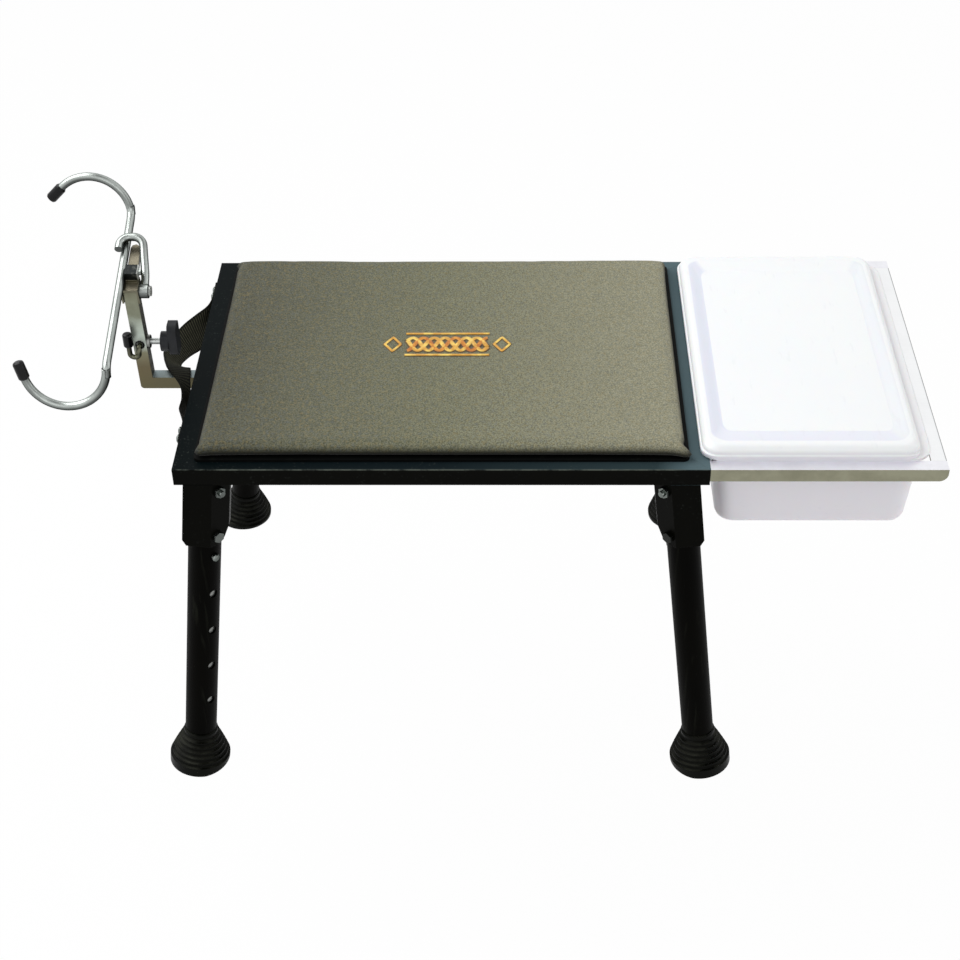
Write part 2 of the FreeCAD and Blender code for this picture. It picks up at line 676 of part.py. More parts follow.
def hexagon(sketch, across, x="0", y="0"):
    """A hexagon of the given width across its flats, round a middle."""
    corners = []
    for i in range(6):
        turn = math.radians(60 * i)
        corners.append(("%s + (%s) * %.7f" % (x, across, math.cos(turn) / math.sqrt(3)),
                        "%s + (%s) * %.7f" % (y, across, math.sin(turn) / math.sqrt(3))))
    polygon(sketch, corners)


bolt = new_body("leg_bolt_pattern")
head = new_sketch(bolt, "XY_Plane")
hexagon(head, "bolt_head")
pad(bolt, head, "bolt_head_high", "head", backward=True)
shank = new_sketch(bolt, "XY_Plane")
circle(shank, 0, 0, "leg_bolt / 2")
pad(bolt, shank, grip + " + bolt_head_high + bolt_tail", "shank")
nut = new_body("leg_nut_pattern")
ring = new_sketch(nut, "XY_Plane", grip)
hexagon(ring, "bolt_head")
circle(ring, 0, 0, "leg_bolt / 2 + thread_gap")
pad(nut, ring, "bolt_head_high", "nut")

bolt_places = []
for corner, (side, end) in corners.items():
    turn = leg_frame(side, end, bolt_way(side, end))
    outward = value("outer_tube / 2 + bracket_gap + bracket_wall")
    lower = Placement(Vector(outward, 0, at.lower_bolt_at), Rotation(Vector(0, 1, 0), -90))
    upper = Placement(Vector(-at.outer_tube / 2, 0, at.upper_bolt_at), Rotation(Vector(0, 1, 0), 90))
    bolt_places += [turn * lower, turn * upper]
group("leg_bolts", bolt, bolt_places)
group("leg_nuts", nut, bolt_places)

# Bait box tray: two arms and an outer bar of angle


def tray_arm(name):
    """The front arm: a level flange, a lip with a rounded outer corner and a screwed end tab."""
    body = new_body(name)
    edge = "frame_width / 2"
    reach = "(frame_width / 2 + tray_reach)"
    low = "(frame_top - tray_lip)"
    flange = new_sketch(body, "XY_Plane", "frame_top")
    polygon(flange, [(edge, 0), (reach, 0), (reach, "tray_flange"), (edge, "tray_flange")])
    pad(body, flange, "tray_wall", "flange", backward=True)
    face = new_sketch(body, "XZ_Plane")
    polygon(face, [(edge, low), (reach, low), (reach, "frame_top"), (edge, "frame_top")])
    pad(body, face, "tray_wall", "face", backward=True)
    fillet(body, reach, low, "tray_corner")
    tab = new_sketch(body, "YZ_Plane", edge)
    polygon(tab, [(0, low), ("tray_tab", low), ("tray_tab", "frame_top"), (0, "frame_top")])
    pad(body, tab, "tray_wall", "tab")
    holes = new_sketch(body, "YZ_Plane", edge + " + tray_wall + cut_over")
    for place in ("tray_tab - tray_screw_edge", "tray_tab - tray_screw_edge - tray_screw_pitch"):
        circle(holes, place, "frame_top - tray_lip / 2", "screw_shank / 2 + screw_gap")
    cut(body, holes, "screw_holes", length="tray_wall + 2 * cut_over")
    return body


front_arm = keep(tray_arm("tray_front_arm"))
keep(mirrored("tray_back_arm", front_arm, Vector(0, middle_y, 0), Vector(0, 1, 0)))

outer_bar = keep(new_body("tray_outer_bar"))
reach = "(frame_width / 2 + tray_reach)"
top = new_sketch(outer_bar, "XY_Plane", "frame_top")
polygon(top, [(reach + " - tray_side_flange", "tray_flange"), (reach, "tray_flange"),
              (reach, "frame_depth - tray_flange"),
              (reach + " - tray_side_flange", "frame_depth - tray_flange")])
pad(outer_bar, top, "tray_wall", "flange", backward=True)
lip = new_sketch(outer_bar, "YZ_Plane", reach)
low = "(frame_top - tray_lip)"
polygon(lip, [("tray_wall", "frame_top - tray_wall"), ("tray_wall", low + " + tray_corner"),
              ("tray_wall + tray_corner", low), ("frame_depth - tray_wall - tray_corner", low),
              ("frame_depth - tray_wall", low + " + tray_corner"),
              ("frame_depth - tray_wall", "frame_top - tray_wall")])
pad(outer_bar, lip, "tray_wall", "lip", backward=True)

tray_screw = screw("tray_screw", "screw_shank", "screw_head", "screw_head_high",
                   "rail_wall + tray_wall + tray_screw_out")
tray_places = []
for y in (at.tray_tab - at.tray_screw_edge, at.tray_tab - at.tray_screw_edge - at.tray_screw_pitch):
    for row_y in (y, at.frame_depth - y):
        place = Vector(half_width - at.rail_wall, row_y, at.frame_top - at.tray_lip / 2)
        tray_places.append(Placement(place, Rotation(Vector(0, 1, 0), 90)))
group("tray_screws", tray_screw, tray_places)

# Bait box and lid

box = keep(new_body("bait_box"))


def box_section(inset, level, low_end):
    sketch = new_sketch(box, "XY_Plane", level)
    slope = "box_slope" if low_end else "0"
    left = "box_left_low" if low_end else "box_left"
    right = "box_right_low" if low_end else "box_right"
    rounded(sketch, "%s + %s" % (left, inset), "%s - (%s)" % (right, inset),
            "box_front + %s + %s" % (slope, inset), "frame_depth - box_front - %s - (%s)" % (slope, inset),
            "box_radius - (%s)" % inset)
    return sketch


loft(box, [box_section("box_floor_round", "box_low", True),
           box_section("box_floor_turn", "box_low + box_floor_turn", True),
           box_section("0", "box_low + box_floor_round", True),
           box_section("0", "frame_top", False)], "tub")
rim = new_sketch(box, "XY_Plane", "frame_top")
rounded(rim, "rim_left", "rim_right", "rim_front", "rim_back", "rim_radius")
pad(box, rim, "rim_thick", "rim")
loft(box, [box_section("box_floor_round + box_wall", "box_low + box_wall", True),
           box_section("box_wall", "box_low + box_floor_round + box_wall", True),
           box_section("box_wall", "frame_top + rim_thick", False)], "inside", kind="SubtractiveLoft")

lid = keep(new_body("bait_box_lid"))
seat = "(frame_top + rim_thick)"


def lid_section(inset, level, end_inset="0"):
    """A level outline of the lid, drawn in all round and further at its front and back ends."""
    sketch = new_sketch(lid, "XY_Plane", level)
    rounded(sketch, "lid_left + " + inset, "lid_right - (%s)" % inset,
            "lid_front + %s + %s" % (inset, end_inset), "rim_back - (%s) - (%s)" % (inset, end_inset),
            "lid_radius - 0.3 * (%s)" % inset)
    return sketch


loft(lid, [lid_section("0", seat), lid_section("0", seat + " + lid_edge"),
           lid_section("lid_slope", seat + " + lid_high")], "shell")
loft(lid, [lid_section("lid_slope + lid_ridge", seat + " + lid_high + cut_skin"),
           lid_section("lid_slope + lid_ridge + lid_side_band", seat + " + lid_high - lid_panel_deep",
                       "(lid_end_band - lid_side_band)")], "panel", kind="SubtractiveLoft")


def plug_outline(sketch, inset):
    """The box's opening drawn in, for the lid's plug."""
    rounded(sketch, "box_left + " + inset, "box_right - (%s)" % inset, "box_front + " + inset,
            "frame_depth - box_front - (%s)" % inset, "box_radius - (%s)" % inset)


plug_out = "box_wall + lid_plug_gap"
plug_in = "box_wall + lid_plug_gap + lid_wall"
hollow = new_sketch(lid, "XY_Plane", seat)
plug_outline(hollow, plug_in)
cut(lid, hollow, "hollow", length="lid_high - lid_panel_deep - lid_wall", backward=True)
plug = new_sketch(lid, "XY_Plane", seat)
plug_outline(plug, plug_out)
plug_outline(plug, plug_in)
pad(lid, plug, "lid_plug", "plug", backward=True)

# Rod rest bracket: a square bar turned up at its outer end, with a rounded top at the pivot

bar = keep(new_body("rest_bracket"))
inner_x = "-frame_width / 2"
outer_x = "(-frame_width / 2 - bar_reach)"
front_view = new_sketch(bar, "XZ_Plane")
polygon(front_view, [(inner_x, "bar_foot_low"), (inner_x, "bar_foot_low + bar_side"),
                     (outer_x + " + bar_side", "bar_foot_low + bar_side"),
                     (outer_x + " + bar_side - bar_lean", "pivot_high"),
                     (outer_x + " - bar_lean", "pivot_high"), (outer_x, "bar_foot_low")])
pad(bar, front_view, "bar_side", "angle", middle=True)
fillet(bar, outer_x, "bar_foot_low", "bar_corner")
end = new_sketch(bar, "YZ_Plane", outer_x + " - bar_lean")
circle(end, 0, "pivot_high", "bar_side / 2")
pad(bar, end, "bar_side", "round_top")
bores = new_sketch(bar, "YZ_Plane", outer_x)
circle(bores, 0, "pivot_high", "pivot_bolt / 2 + bore_gap")
cut(bar, bores, "pivot_bore", both=True)
clamp_bore = new_sketch(bar, "YZ_Plane", outer_x + " + bar_side / 2 - clamp_shift")
circle(clamp_bore, 0, "clamp_high", "clamp_bolt / 2 + bore_gap")
cut(bar, clamp_bore, "clamp_bore", length="bar_side", backward=True)
hook_bore = new_sketch(bar, "XZ_Plane")
circle(hook_bore, outer_x + " + bar_side / 2 - clamp_shift", "clamp_high", "small_wire / 2 + bore_gap")
cut(bar, hook_bore, "hook_bore", both=True)
screw_bore = new_sketch(bar, "YZ_Plane", inner_x)
circle(screw_bore, 0, rest_level, "screw_shank / 2 + screw_gap")
cut(bar, screw_bore, "screw_bore", length="2 * bar_side")
bar.Placement = Placement(Vector(0, at.bar_place, 0), Rotation())

# Tilting head. Its own frame: origin on the pivot, Y back and up along the rods

bar_x = -half_width - at.bar_reach + at.bar_side / 2
head_x = bar_x - at.bar_lean
head_frame = Placement(Vector(head_x, at.bar_place, at.pivot_high), Rotation(Vector(1, 0, 0), at.rest_tilt))
cheek_in = "(bar_side / 2 + cheek_gap)"
cheek_out = "(bar_side / 2 + cheek_gap + cheek_thick)"

clevis = keep(new_body("rest_head_plate"))
section = new_sketch(clevis, "XZ_Plane")
polygon(section, [("-" + cheek_out, "-cheek_low"), ("-" + cheek_in, "-cheek_low"),
                  ("-" + cheek_in, "plate_low"), (cheek_in, "plate_low"), (cheek_in, "-cheek_low"),
                  (cheek_out, "-cheek_low"), (cheek_out, "plate_low + plate_thick"),
                  ("-" + cheek_out, "plate_low + plate_thick")])
pad(clevis, section, "cheek_deep", "clevis", middle=True)
tongue = new_sketch(clevis, "XY_Plane", "plate_low")
wire_side = "(wire_beside - hook_wire / 2 - wire_gap)"
polygon(tongue, [("-" + wire_side, "tongue_start"), ("tongue_base", "tongue_start"),
                 ("tongue_tip", "tongue_long - tongue_round"),
                 ("tongue_tip - 0.4 * tongue_round", "tongue_long - 0.28 * tongue_round"),
                 ("tongue_tip - 0.88 * tongue_round", "tongue_long"),
                 ("0.16 * tongue_round - " + wire_side, "tongue_long - 0.28 * tongue_round"),
                 ("-0.12 * tongue_round - " + wire_side, "tongue_long - tongue_round")])
pad(clevis, tongue, "2 * plate_thick", "tongue")
eye = new_sketch(clevis, "YZ_Plane")
circle(eye, 0, 0, "pivot_bolt / 2 + bore_gap")
cut(clevis, eye, "pivot_hole", both=True)
clevis.Placement = head_frame

block = keep(new_body("rest_clamp_block"))
foot_print = new_sketch(block, "XY_Plane", "plate_low + 2 * plate_thick")
block_end = "(block_wide - %s)" % wire_side
block_far = "(block_start + block_deep)"
polygon(foot_print, [("-" + wire_side, "block_start"), (block_end, "block_start"),
                     (block_end, block_far), ("-" + wire_side, block_far)])
pad(block, foot_print, "block_high")
block.Placement = head_frame

side_bolt = keep(new_body("rest_block_bolt"))
hexes = new_sketch(side_bolt, "YZ_Plane", block_end)
hexagon(hexes, "block_bolt", "block_start + block_deep / 2", "plate_low + 2 * plate_thick + block_high / 2")
pad(side_bolt, hexes, "block_bolt / 2", "head")
side_bolt.Placement = head_frame

pivot = keep(new_body("rest_pivot_bolt"))
stack = "(bar_side + 2 * cheek_gap + 2 * cheek_thick)"
cap_end = new_sketch(pivot, "YZ_Plane", "-%s / 2" % stack)
hexagon(cap_end, "bolt_head")
pad(pivot, cap_end, "pivot_nut", "nut", backward=True)
stem = new_sketch(pivot, "YZ_Plane", "-%s / 2" % stack)
circle(stem, 0, 0, "pivot_bolt / 2")
pad(pivot, stem, stack + " + bail_wire + bail_gap", "stem")
round_end = new_sketch(pivot, "YZ_Plane", "%s / 2 + bail_wire + bail_gap" % stack)
circle(round_end, 0, 0, "bolt_head / 2")
pad(pivot, round_end, "pivot_cap", "round_head")
pivot.Placement = Placement(Vector(head_x, at.bar_place, at.pivot_high), Rotation())


# Rod hook and bail: wire bent along straight runs and tangent arcs

def wire_path(points, radii):
    """Straight runs joined by arcs; one radius for each inner point."""
    edges = []
    start = points[0]
    for i in range(1, len(points) - 1):
        a = (points[i - 1] - points[i]).normalize()
        b = (points[i + 1] - points[i]).normalize()
        half = a.getAngle(b) / 2
        trim = radii[i - 1] / math.tan(half)
        first = points[i] + a * trim
        last = points[i] + b * trim
        middle = points[i] + (a + b).normalize() * (radii[i - 1] / math.sin(half) - radii[i - 1])
        if (first - start).Length > 0.001:
            edges.append(Part.LineSegment(start, first).toShape())
        edges.append(Part.Arc(first, middle, last).toShape())
        start = last
    if (points[-1] - start).Length > 0.001:
        edges.append(Part.LineSegment(start, points[-1]).toShape())
    return Part.Wire(edges)


def bent_wire(points, radii, thick):
    along = (points[1] - points[0]).normalize()
    ring = Part.Wire(Part.makeCircle(thick / 2, points[0], along))
    return wire_path(points, radii).makePipeShell([ring], True, False)


def in_head(x, y, z):
    return head_frame.multVec(Vector(x, y, z))


def hook_end(knee, way, sweep, tip):
    """Corners of a hook's bow: from the knee it sweeps left round the hook's radius to its tip."""
    lean = math.radians(at.hook_lean)
    rise = Vector(0, math.sin(lean), math.cos(lean)) * way
    left = Vector(-1, 0, 0)
    radius = at.hook_radius
    rest = math.radians(sweep - 90)
    first = knee + rise * radius
    second = first + left * radius * (1 + math.tan(rest / 2))
    toward = left * math.cos(rest) - rise * math.sin(rest)
    return [first, second, second + toward * (radius * math.tan(rest / 2) + tip)]


# Rod hook: one wire with a bow to the left at each end and a straight shank over the head
front_knee = Vector(-at.front_hook_x, at.front_hook_y, at.front_hook_z)
rear_knee = Vector(-at.rear_hook_x, at.rear_hook_y, at.rear_hook_z)
front_points = hook_end(front_knee, -1, at.front_sweep, at.front_tip)
rear_points = hook_end(rear_knee, 1, at.rear_sweep, at.rear_tip)
hook_points = front_points[::-1] + [front_knee, rear_knee] + rear_points
bow = [at.hook_radius, at.hook_radius]
bends = bow + [at.knee_radius, at.knee_radius] + bow
keep(plain("rod_hook", bent_wire(hook_points, bends, at.hook_wire)))

# Bail: an eye on the pivot bolt, a leg up beside the tongue and a bend over it and the hook's shank
bail_wire = at.bail_wire
side_x = value(cheek_out) + at.bail_gap + bail_wire / 2
bail_points = [
    in_head(side_x, 0, 0),
    in_head(side_x, at.bail_elbow, at.bail_elbow_rise),
    in_head(at.bail_right, at.bail_back, at.bail_level),
    in_head(-at.bail_left, at.bail_back, at.bail_level),
    in_head(-at.bail_left, at.bail_end, at.bail_level - at.bail_end_drop),
]
bail = bent_wire(bail_points, [at.bail_sweep, at.bail_radius, at.bail_radius], bail_wire)
across = Vector(1, 0, 0)
eye_start = in_head(side_x - bail_wire / 2, 0, 0)
bail = bail.fuse(Part.makeCylinder(at.eye_radius, bail_wire, eye_start, across))
bail_bore = at.pivot_bolt / 2 + at.bore_gap
bail = bail.cut(Part.makeCylinder(bail_bore, 2 * bail_wire, eye_start - across, across))
keep(plain("hook_bail", bail))


def end_cap(name, points, tube, outer, long, closed):
    """A rubber cap pushed over the end of a wire, rounded at its mouth and more at its closed end."""
    tip = points[-1]
    back = (points[-2] - tip).normalize()
    far = "%s + %s" % (long, closed)
    body = turned(name, [
        (tube + " / 2", 0), ("0.84 * %s / 2" % outer, 0), (outer + " / 2", "0.14 * " + outer),
        (outer + " / 2", "%s - 0.22 * %s" % (far, outer)),
        ("0.87 * %s / 2" % outer, "%s - 0.08 * %s" % (far, outer)), ("0.55 * %s / 2" % outer, far),
        (0, far), (0, long), (tube + " / 2", long)])
    body.Placement = Placement(tip + back * value(long), Rotation(Vector(0, 0, 1), back * -1))
    return keep(body)


end_cap("front_hook_cap", front_points, "hook_wire", "hook_cap", "(hook_cap_long - hook_cap_end)",
        "hook_cap_end")
end_cap("rear_hook_cap", rear_points, "hook_wire", "hook_cap", "(hook_cap_long - hook_cap_end)",
        "hook_cap_end")

# Clamp screw through the bar, its washers and its wing knob

clamp_x = bar_x - at.clamp_shift
clamp_place = Placement(Vector(clamp_x, at.bar_place, at.clamp_high), Rotation(Vector(0, 1, 0), 90))
clamp_start = "(small_wire / 2 + 2 * bore_gap)"
clamp = keep(turned("clamp_screw", [
    (0, clamp_start), ("clamp_bolt / 2 - clamp_round", clamp_start),
    ("clamp_bolt / 2", clamp_start + " + clamp_round"), ("clamp_bolt / 2", "clamp_reach"),
    (0, "clamp_reach")]))
clamp.Placement = clamp_place
washer_face = "(bar_side / 2 + washer_gap)"
washer_hole = "(clamp_bolt / 2 + bore_gap)"
washers = keep(turned("clamp_washer", [
    (washer_hole, washer_face), ("washer / 2", washer_face),
    ("washer / 2", washer_face + " + washer_thick"), (washer_hole, washer_face + " + washer_thick")]))
washers.Placement = clamp_place
knob = keep(new_body("clamp_knob"))
collar_start = "(clamp_reach + knob_floor - knob_collar_long)"
collar = new_sketch(knob, "XY_Plane", collar_start)
circle(collar, 0, 0, "knob_collar / 2")
pad(knob, collar, "knob_collar_long", "collar")
wing = new_sketch(knob, "XY_Plane", collar_start + " + knob_collar_long")
rounded(wing, "-wing_top", "wing_low", "-wing_wide / 2", "wing_wide / 2", "wing_round")
pad(knob, wing, "wing_thick", "wing")
bore = new_sketch(knob, "XY_Plane", collar_start)
circle(bore, 0, 0, "clamp_bolt / 2 + thread_gap")
cut(knob, bore, "bore", length="knob_collar_long - knob_floor", backward=True)
knob.Placement = clamp_place

# Small hook: a bent wire through the bar with a capped tip, swivelling about its shank

front_y = at.bar_place - at.bar_side / 2
bow_y = front_y - at.small_hook_out
bow_z = at.clamp_high - at.small_hook_drop
small_points = [
    Vector(clamp_x, at.bar_place + at.bar_side / 2 + at.small_hook_tail, at.clamp_high),
    Vector(clamp_x, bow_y, at.clamp_high),
    Vector(clamp_x, bow_y, bow_z),
    Vector(clamp_x - at.small_hook_side, bow_y, bow_z),
    Vector(clamp_x - at.small_hook_side, bow_y, at.clamp_high + at.small_hook_rise),
]
small_wire = bent_wire(small_points, [at.small_bend] * 3, at.small_wire)
keep(plain("small_hook", small_wire))
end_cap("small_hook_cap", small_points, "small_wire", "small_cap", "(small_cap_long - small_cap_end)",
        "small_cap_end")

# Carry strap: webbing looped out from the left rail and over the foot of the rod rest bracket

face = at.strap_thick / 2 + at.strap_gap
over = at.bar_foot_low + at.bar_side + at.strap_thick / 2 - at.frame_top
wide = at.strap_wide


def strap_point(out, back, high):
    """A point out from the left rail, back from the bracket's middle and above the frame's top."""
    return Vector(-half_width - out, at.bar_place + back, at.frame_top + high)


def strap_shape():
    """Ruled loft through cross sections from the rear end to the front end, bored for its rivets."""
    bulge = at.strap_bulge
    rear = at.strap_rear - at.bar_place
    front = at.strap_front - at.bar_place
    # upper edge, then lower edge, of the webbing at each fold
    stations = [
        ((face, rear + at.strap_end, -0.03 * wide), (face, rear + at.strap_end, -1.03 * wide)),
        ((face, 0.89 * rear, -0.053 * wide), (face, 0.86 * rear, -1.03 * wide)),
        ((0.13 * bulge, 0.78 * rear, -0.1 * wide), (0.07 * bulge, 0.74 * rear, -1.07 * wide)),
        ((0.44 * bulge, 0.66 * rear, -0.09 * wide), (0.24 * bulge, 0.66 * rear, -1.07 * wide)),
        ((0.7 * bulge, 0.54 * rear, -0.07 * wide), (0.48 * bulge, 0.58 * rear, -1.02 * wide)),
        ((0.92 * bulge, 0.39 * rear, -0.03 * wide), (0.69 * bulge, 0.47 * rear, -0.93 * wide)),
        ((1.03 * bulge, 0.24 * rear, -0.02 * wide), (0.72 * bulge, 0.32 * rear, -0.83 * wide)),
        ((0.97 * bulge, 0.143 * rear, 0), (0.57 * bulge, 0.225 * rear, -0.7 * wide)),
        ((0.87 * bulge, 0.07 * rear, 0.04 * wide), (0.26 * bulge, 0.1 * rear, -0.27 * wide)),
        ((0.78 * bulge, 0.022 * rear, over + 0.1 * wide), (0.15 * bulge, 0.035 * rear, over + 0.03 * wide)),
        ((0.54 * bulge, 0.09 * front, over + 0.03 * wide), (0.1 * bulge, 0.1 * front, over + 0.02 * wide)),
        ((0.33 * bulge, 0.2 * front, -0.13 * wide), (0.064 * bulge, 0.28 * front, -0.63 * wide)),
        ((0.27 * bulge, 0.33 * front, -0.28 * wide), (0.061 * bulge, 0.4 * front, -1.08 * wide)),
        ((0.27 * bulge, 0.49 * front, -0.28 * wide), (0.09 * bulge, 0.53 * front, -1.15 * wide)),
        ((0.14 * bulge, 0.64 * front, -0.18 * wide), (0.05 * bulge, 0.67 * front, -1.12 * wide)),
        ((face, 0.78 * front, -0.08 * wide), (face, 0.78 * front, -1.07 * wide)),
        ((face, front - at.strap_end, -0.07 * wide), (face, front - at.strap_end, -1.07 * wide)),
    ]
    pairs = [(strap_point(*upper), strap_point(*lower)) for upper, lower in stations]
    sections = []
    for i, (upper, lower) in enumerate(pairs):
        behind = pairs[max(i - 1, 0)]
        ahead = pairs[min(i + 1, len(pairs) - 1)]
        run = (ahead[0] + ahead[1] - behind[0] - behind[1]).normalize()
        skin = run.cross(lower - upper).normalize() * (at.strap_thick / 2)
        ring = [upper + skin, lower + skin, lower - skin, upper - skin]
        sections.append(Part.makePolygon(ring + ring[:1]))
    strap = Part.makeLoft(sections, True, True)
    for spot in rivet_spots:
        start = Vector(-half_width - at.rail_lip, value(spot), value(tray_level))
        bore = Part.makeCylinder(at.rivet / 2 + at.screw_gap, at.rail_lip, start, Vector(1, 0, 0))
        strap = strap.cut(bore)
    return strap


keep(plain("carry_strap", strap_shape()))

outer_face = "(strap_thick + 2 * strap_gap)"
rivet = turned("strap_rivet", [
    (0, outer_face + " + rivet_high"), ("0.3 * rivet_head", outer_face + " + rivet_high"),
    ("rivet_head / 2", outer_face + " + 0.4 * rivet_high"), ("rivet_head / 2", outer_face),
    ("rivet / 2", outer_face), ("rivet / 2", "-rail_wall"), ("0.8 * rivet", "-rail_wall"),
    ("0.8 * rivet", "-rail_wall - 0.5 * rivet_high"), (0, "-rail_wall - 0.5 * rivet_high")])
rivet_places = []
for spot in rivet_spots:
    place = Vector(-half_width, value(spot), value(tray_level))
    rivet_places.append(Placement(place, Rotation(Vector(0, 1, 0), -90)))
group("strap_rivets", rivet, rivet_places)

rest_screw = keep(screw("rest_screw", "screw_shank", "screw_head", "screw_head_high", "rest_screw_long"))
rest_screw.Placement = Placement(Vector(-half_width + at.rail_wall, at.bar_place, value(rest_level)),
                                 Rotation(Vector(0, 1, 0), -90))

# The origin goes to the middle of the whole outline, on the ground

doc.recompute()
boxes = [part.Shape.optimalBoundingBox(False) for part in parts]
middle = Vector((min(b.XMin for b in boxes) + max(b.XMax for b in boxes)) / 2,
                (min(b.YMin for b in boxes) + max(b.YMax for b in boxes)) / 2,
                min(b.ZMin for b in boxes))

for item in doc.Objects:
    if "Invalid" in item.State or "Error" in item.State:
        raise ValueError("%s did not compute" % item.Name)
for part in parts:
    if part.Shape.isNull() or not part.Shape.isValid():
        raise ValueError("%s has no valid shape" % part.Label)
for part in parts:
    shape = part.Shape.copy()
    shape.translate(middle * -1)
    shape.exportStep("parts/%s.step" % part.Label)
print("origin moved by", [round(v, 3) for v in middle], "pieces", len(parts))
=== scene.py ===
import bmesh
import bpy
import math
from mathutils import Matrix, Vector
from mathutils.bvhtree import BVHTree


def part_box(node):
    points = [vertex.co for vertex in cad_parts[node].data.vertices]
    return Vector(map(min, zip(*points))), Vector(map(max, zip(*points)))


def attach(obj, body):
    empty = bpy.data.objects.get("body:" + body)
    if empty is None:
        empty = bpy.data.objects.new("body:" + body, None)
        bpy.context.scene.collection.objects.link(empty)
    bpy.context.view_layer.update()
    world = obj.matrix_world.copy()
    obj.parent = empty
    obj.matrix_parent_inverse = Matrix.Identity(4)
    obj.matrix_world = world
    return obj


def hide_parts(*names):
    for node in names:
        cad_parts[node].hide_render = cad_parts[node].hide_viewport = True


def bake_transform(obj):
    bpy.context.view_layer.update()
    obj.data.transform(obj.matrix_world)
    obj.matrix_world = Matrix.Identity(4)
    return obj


# Fishing seat with a padded board, telescopic legs, a bait box tray and a rod rest.
# Metres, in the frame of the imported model. The seat's own frame has its origin on the
# ground under the middle of the front rail's outer face.

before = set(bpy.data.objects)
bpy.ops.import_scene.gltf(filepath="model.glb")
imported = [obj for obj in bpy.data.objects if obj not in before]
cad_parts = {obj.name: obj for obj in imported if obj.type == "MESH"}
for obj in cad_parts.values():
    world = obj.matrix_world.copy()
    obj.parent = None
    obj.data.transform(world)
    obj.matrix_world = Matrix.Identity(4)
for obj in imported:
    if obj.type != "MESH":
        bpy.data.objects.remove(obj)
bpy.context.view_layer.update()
rail_low, rail_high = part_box("front_rail")
seat_origin = Vector(((rail_low.x + rail_high.x) / 2, rail_low.y, 0))
MM = 0.001


def seat(x, y, z):
    """A point of the seat's frame in millimetres, as a place in the scene."""
    return seat_origin + Vector((x, y, z)) * MM


def screen(red, green, blue):
    """A colour as it reads on a screen, from 0 to 255, in the shader's own scale."""
    return tuple((c / 255) ** 2.2 for c in (red, green, blue))


# Camera: above the front edge, looking down on the seat

camera_place = seat(71.59, -1277.37, 1392.5)
camera_data = bpy.data.cameras.new("camera")
camera_data.sensor_width = 36
camera_data.lens = 66.34
camera_data.clip_end = 30
camera = bpy.data.objects.new("camera", camera_data)
bpy.context.collection.objects.link(camera)
tilt = math.radians(38.989)
yaw = math.radians(1.57)
roll = math.radians(-0.983)
ahead = Vector((-math.sin(yaw) * math.cos(tilt), math.cos(yaw) * math.cos(tilt), -math.sin(tilt)))
level = Vector((math.cos(yaw), math.sin(yaw), 0))
upward = level.cross(ahead)
right = level * math.cos(roll) + upward * math.sin(roll)
over = upward * math.cos(roll) - level * math.sin(roll)
turn = Matrix((right, over, -ahead)).transposed().to_4x4()
camera.matrix_world = Matrix.Translation(camera_place) @ turn
bpy.context.scene.camera = camera
bpy.context.scene.view_settings.view_transform = "Standard"

# Floor and soft lamps. The floor lies low enough for the legs at their longest.

leg_reach = 0.2
floor_half = 9
floor_back = 3
floor_mesh = bpy.data.meshes.new("floor")
ground = bmesh.new()
bmesh.ops.create_grid(ground, x_segments=1, y_segments=1, size=floor_half)
ground.to_mesh(floor_mesh)
ground.free()
floor = bpy.data.objects.new("floor", floor_mesh)
floor.location = (0, floor_back, -leg_reach)
bpy.context.collection.objects.link(floor)


def lamp(name, place, aim, size, power):
    """A soft rectangular lamp at a place, turned to a point; its sides in metres, then watts."""
    data = bpy.data.lights.new(name, "AREA")
    data.shape = "RECTANGLE"
    data.size, data.size_y = size
    data.energy = power
    item = bpy.data.objects.new(name, data)
    item.location = place
    item.rotation_euler = (Vector(aim) - Vector(place)).to_track_quat("-Z", "Y").to_euler()
    bpy.context.collection.objects.link(item)


lamp("key_panel", (-1.5, 0.25, 2.25), (0, 0, 0.35), (2.4, 1.9), 46)
lamp("front_panel", (0.4, -2.6, 1.3), (0, 0, 0.3), (1.8, 1.2), 8)
lamp("side_panel", (2.2, 0.1, 1.0), (0.3, 0, 0.35), (1.2, 1.2), 9)


# Shader tools

class Tone:
    """A shader value that adds its own maths nodes."""

    def __init__(self, wiring, socket):
        self.wiring = wiring
        self.socket = socket

    def maths(self, operation, *values, clamp=False):
        settings = {"operation": operation, "use_clamp": clamp}
        return self.wiring.add("ShaderNodeMath", settings, dict(enumerate(values)))

    def __add__(self, other):
        return self.maths("ADD", self, other)

    def __sub__(self, other):
        return self.maths("SUBTRACT", self, other)

    def __rsub__(self, other):
        return self.maths("SUBTRACT", other, self)

    def __mul__(self, other):
        return self.maths("MULTIPLY", self, other)

    def __pow__(self, other):
        return self.maths("POWER", self, other)

    def __neg__(self):
        return self.maths("MULTIPLY", self, -1.0)

    __radd__ = __add__
    __rmul__ = __mul__

    def sine(self):
        return self.maths("SINE", self)

    def size(self):
        return self.maths("ABSOLUTE", self)

    def most(self, other):
        return self.maths("MAXIMUM", self, other)

    def held(self):
        return self.maths("ADD", self, 0.0, clamp=True)

    def beside(self, number):
        """Another output of the same node."""
        return Tone(self.wiring, self.socket.node.outputs[number])


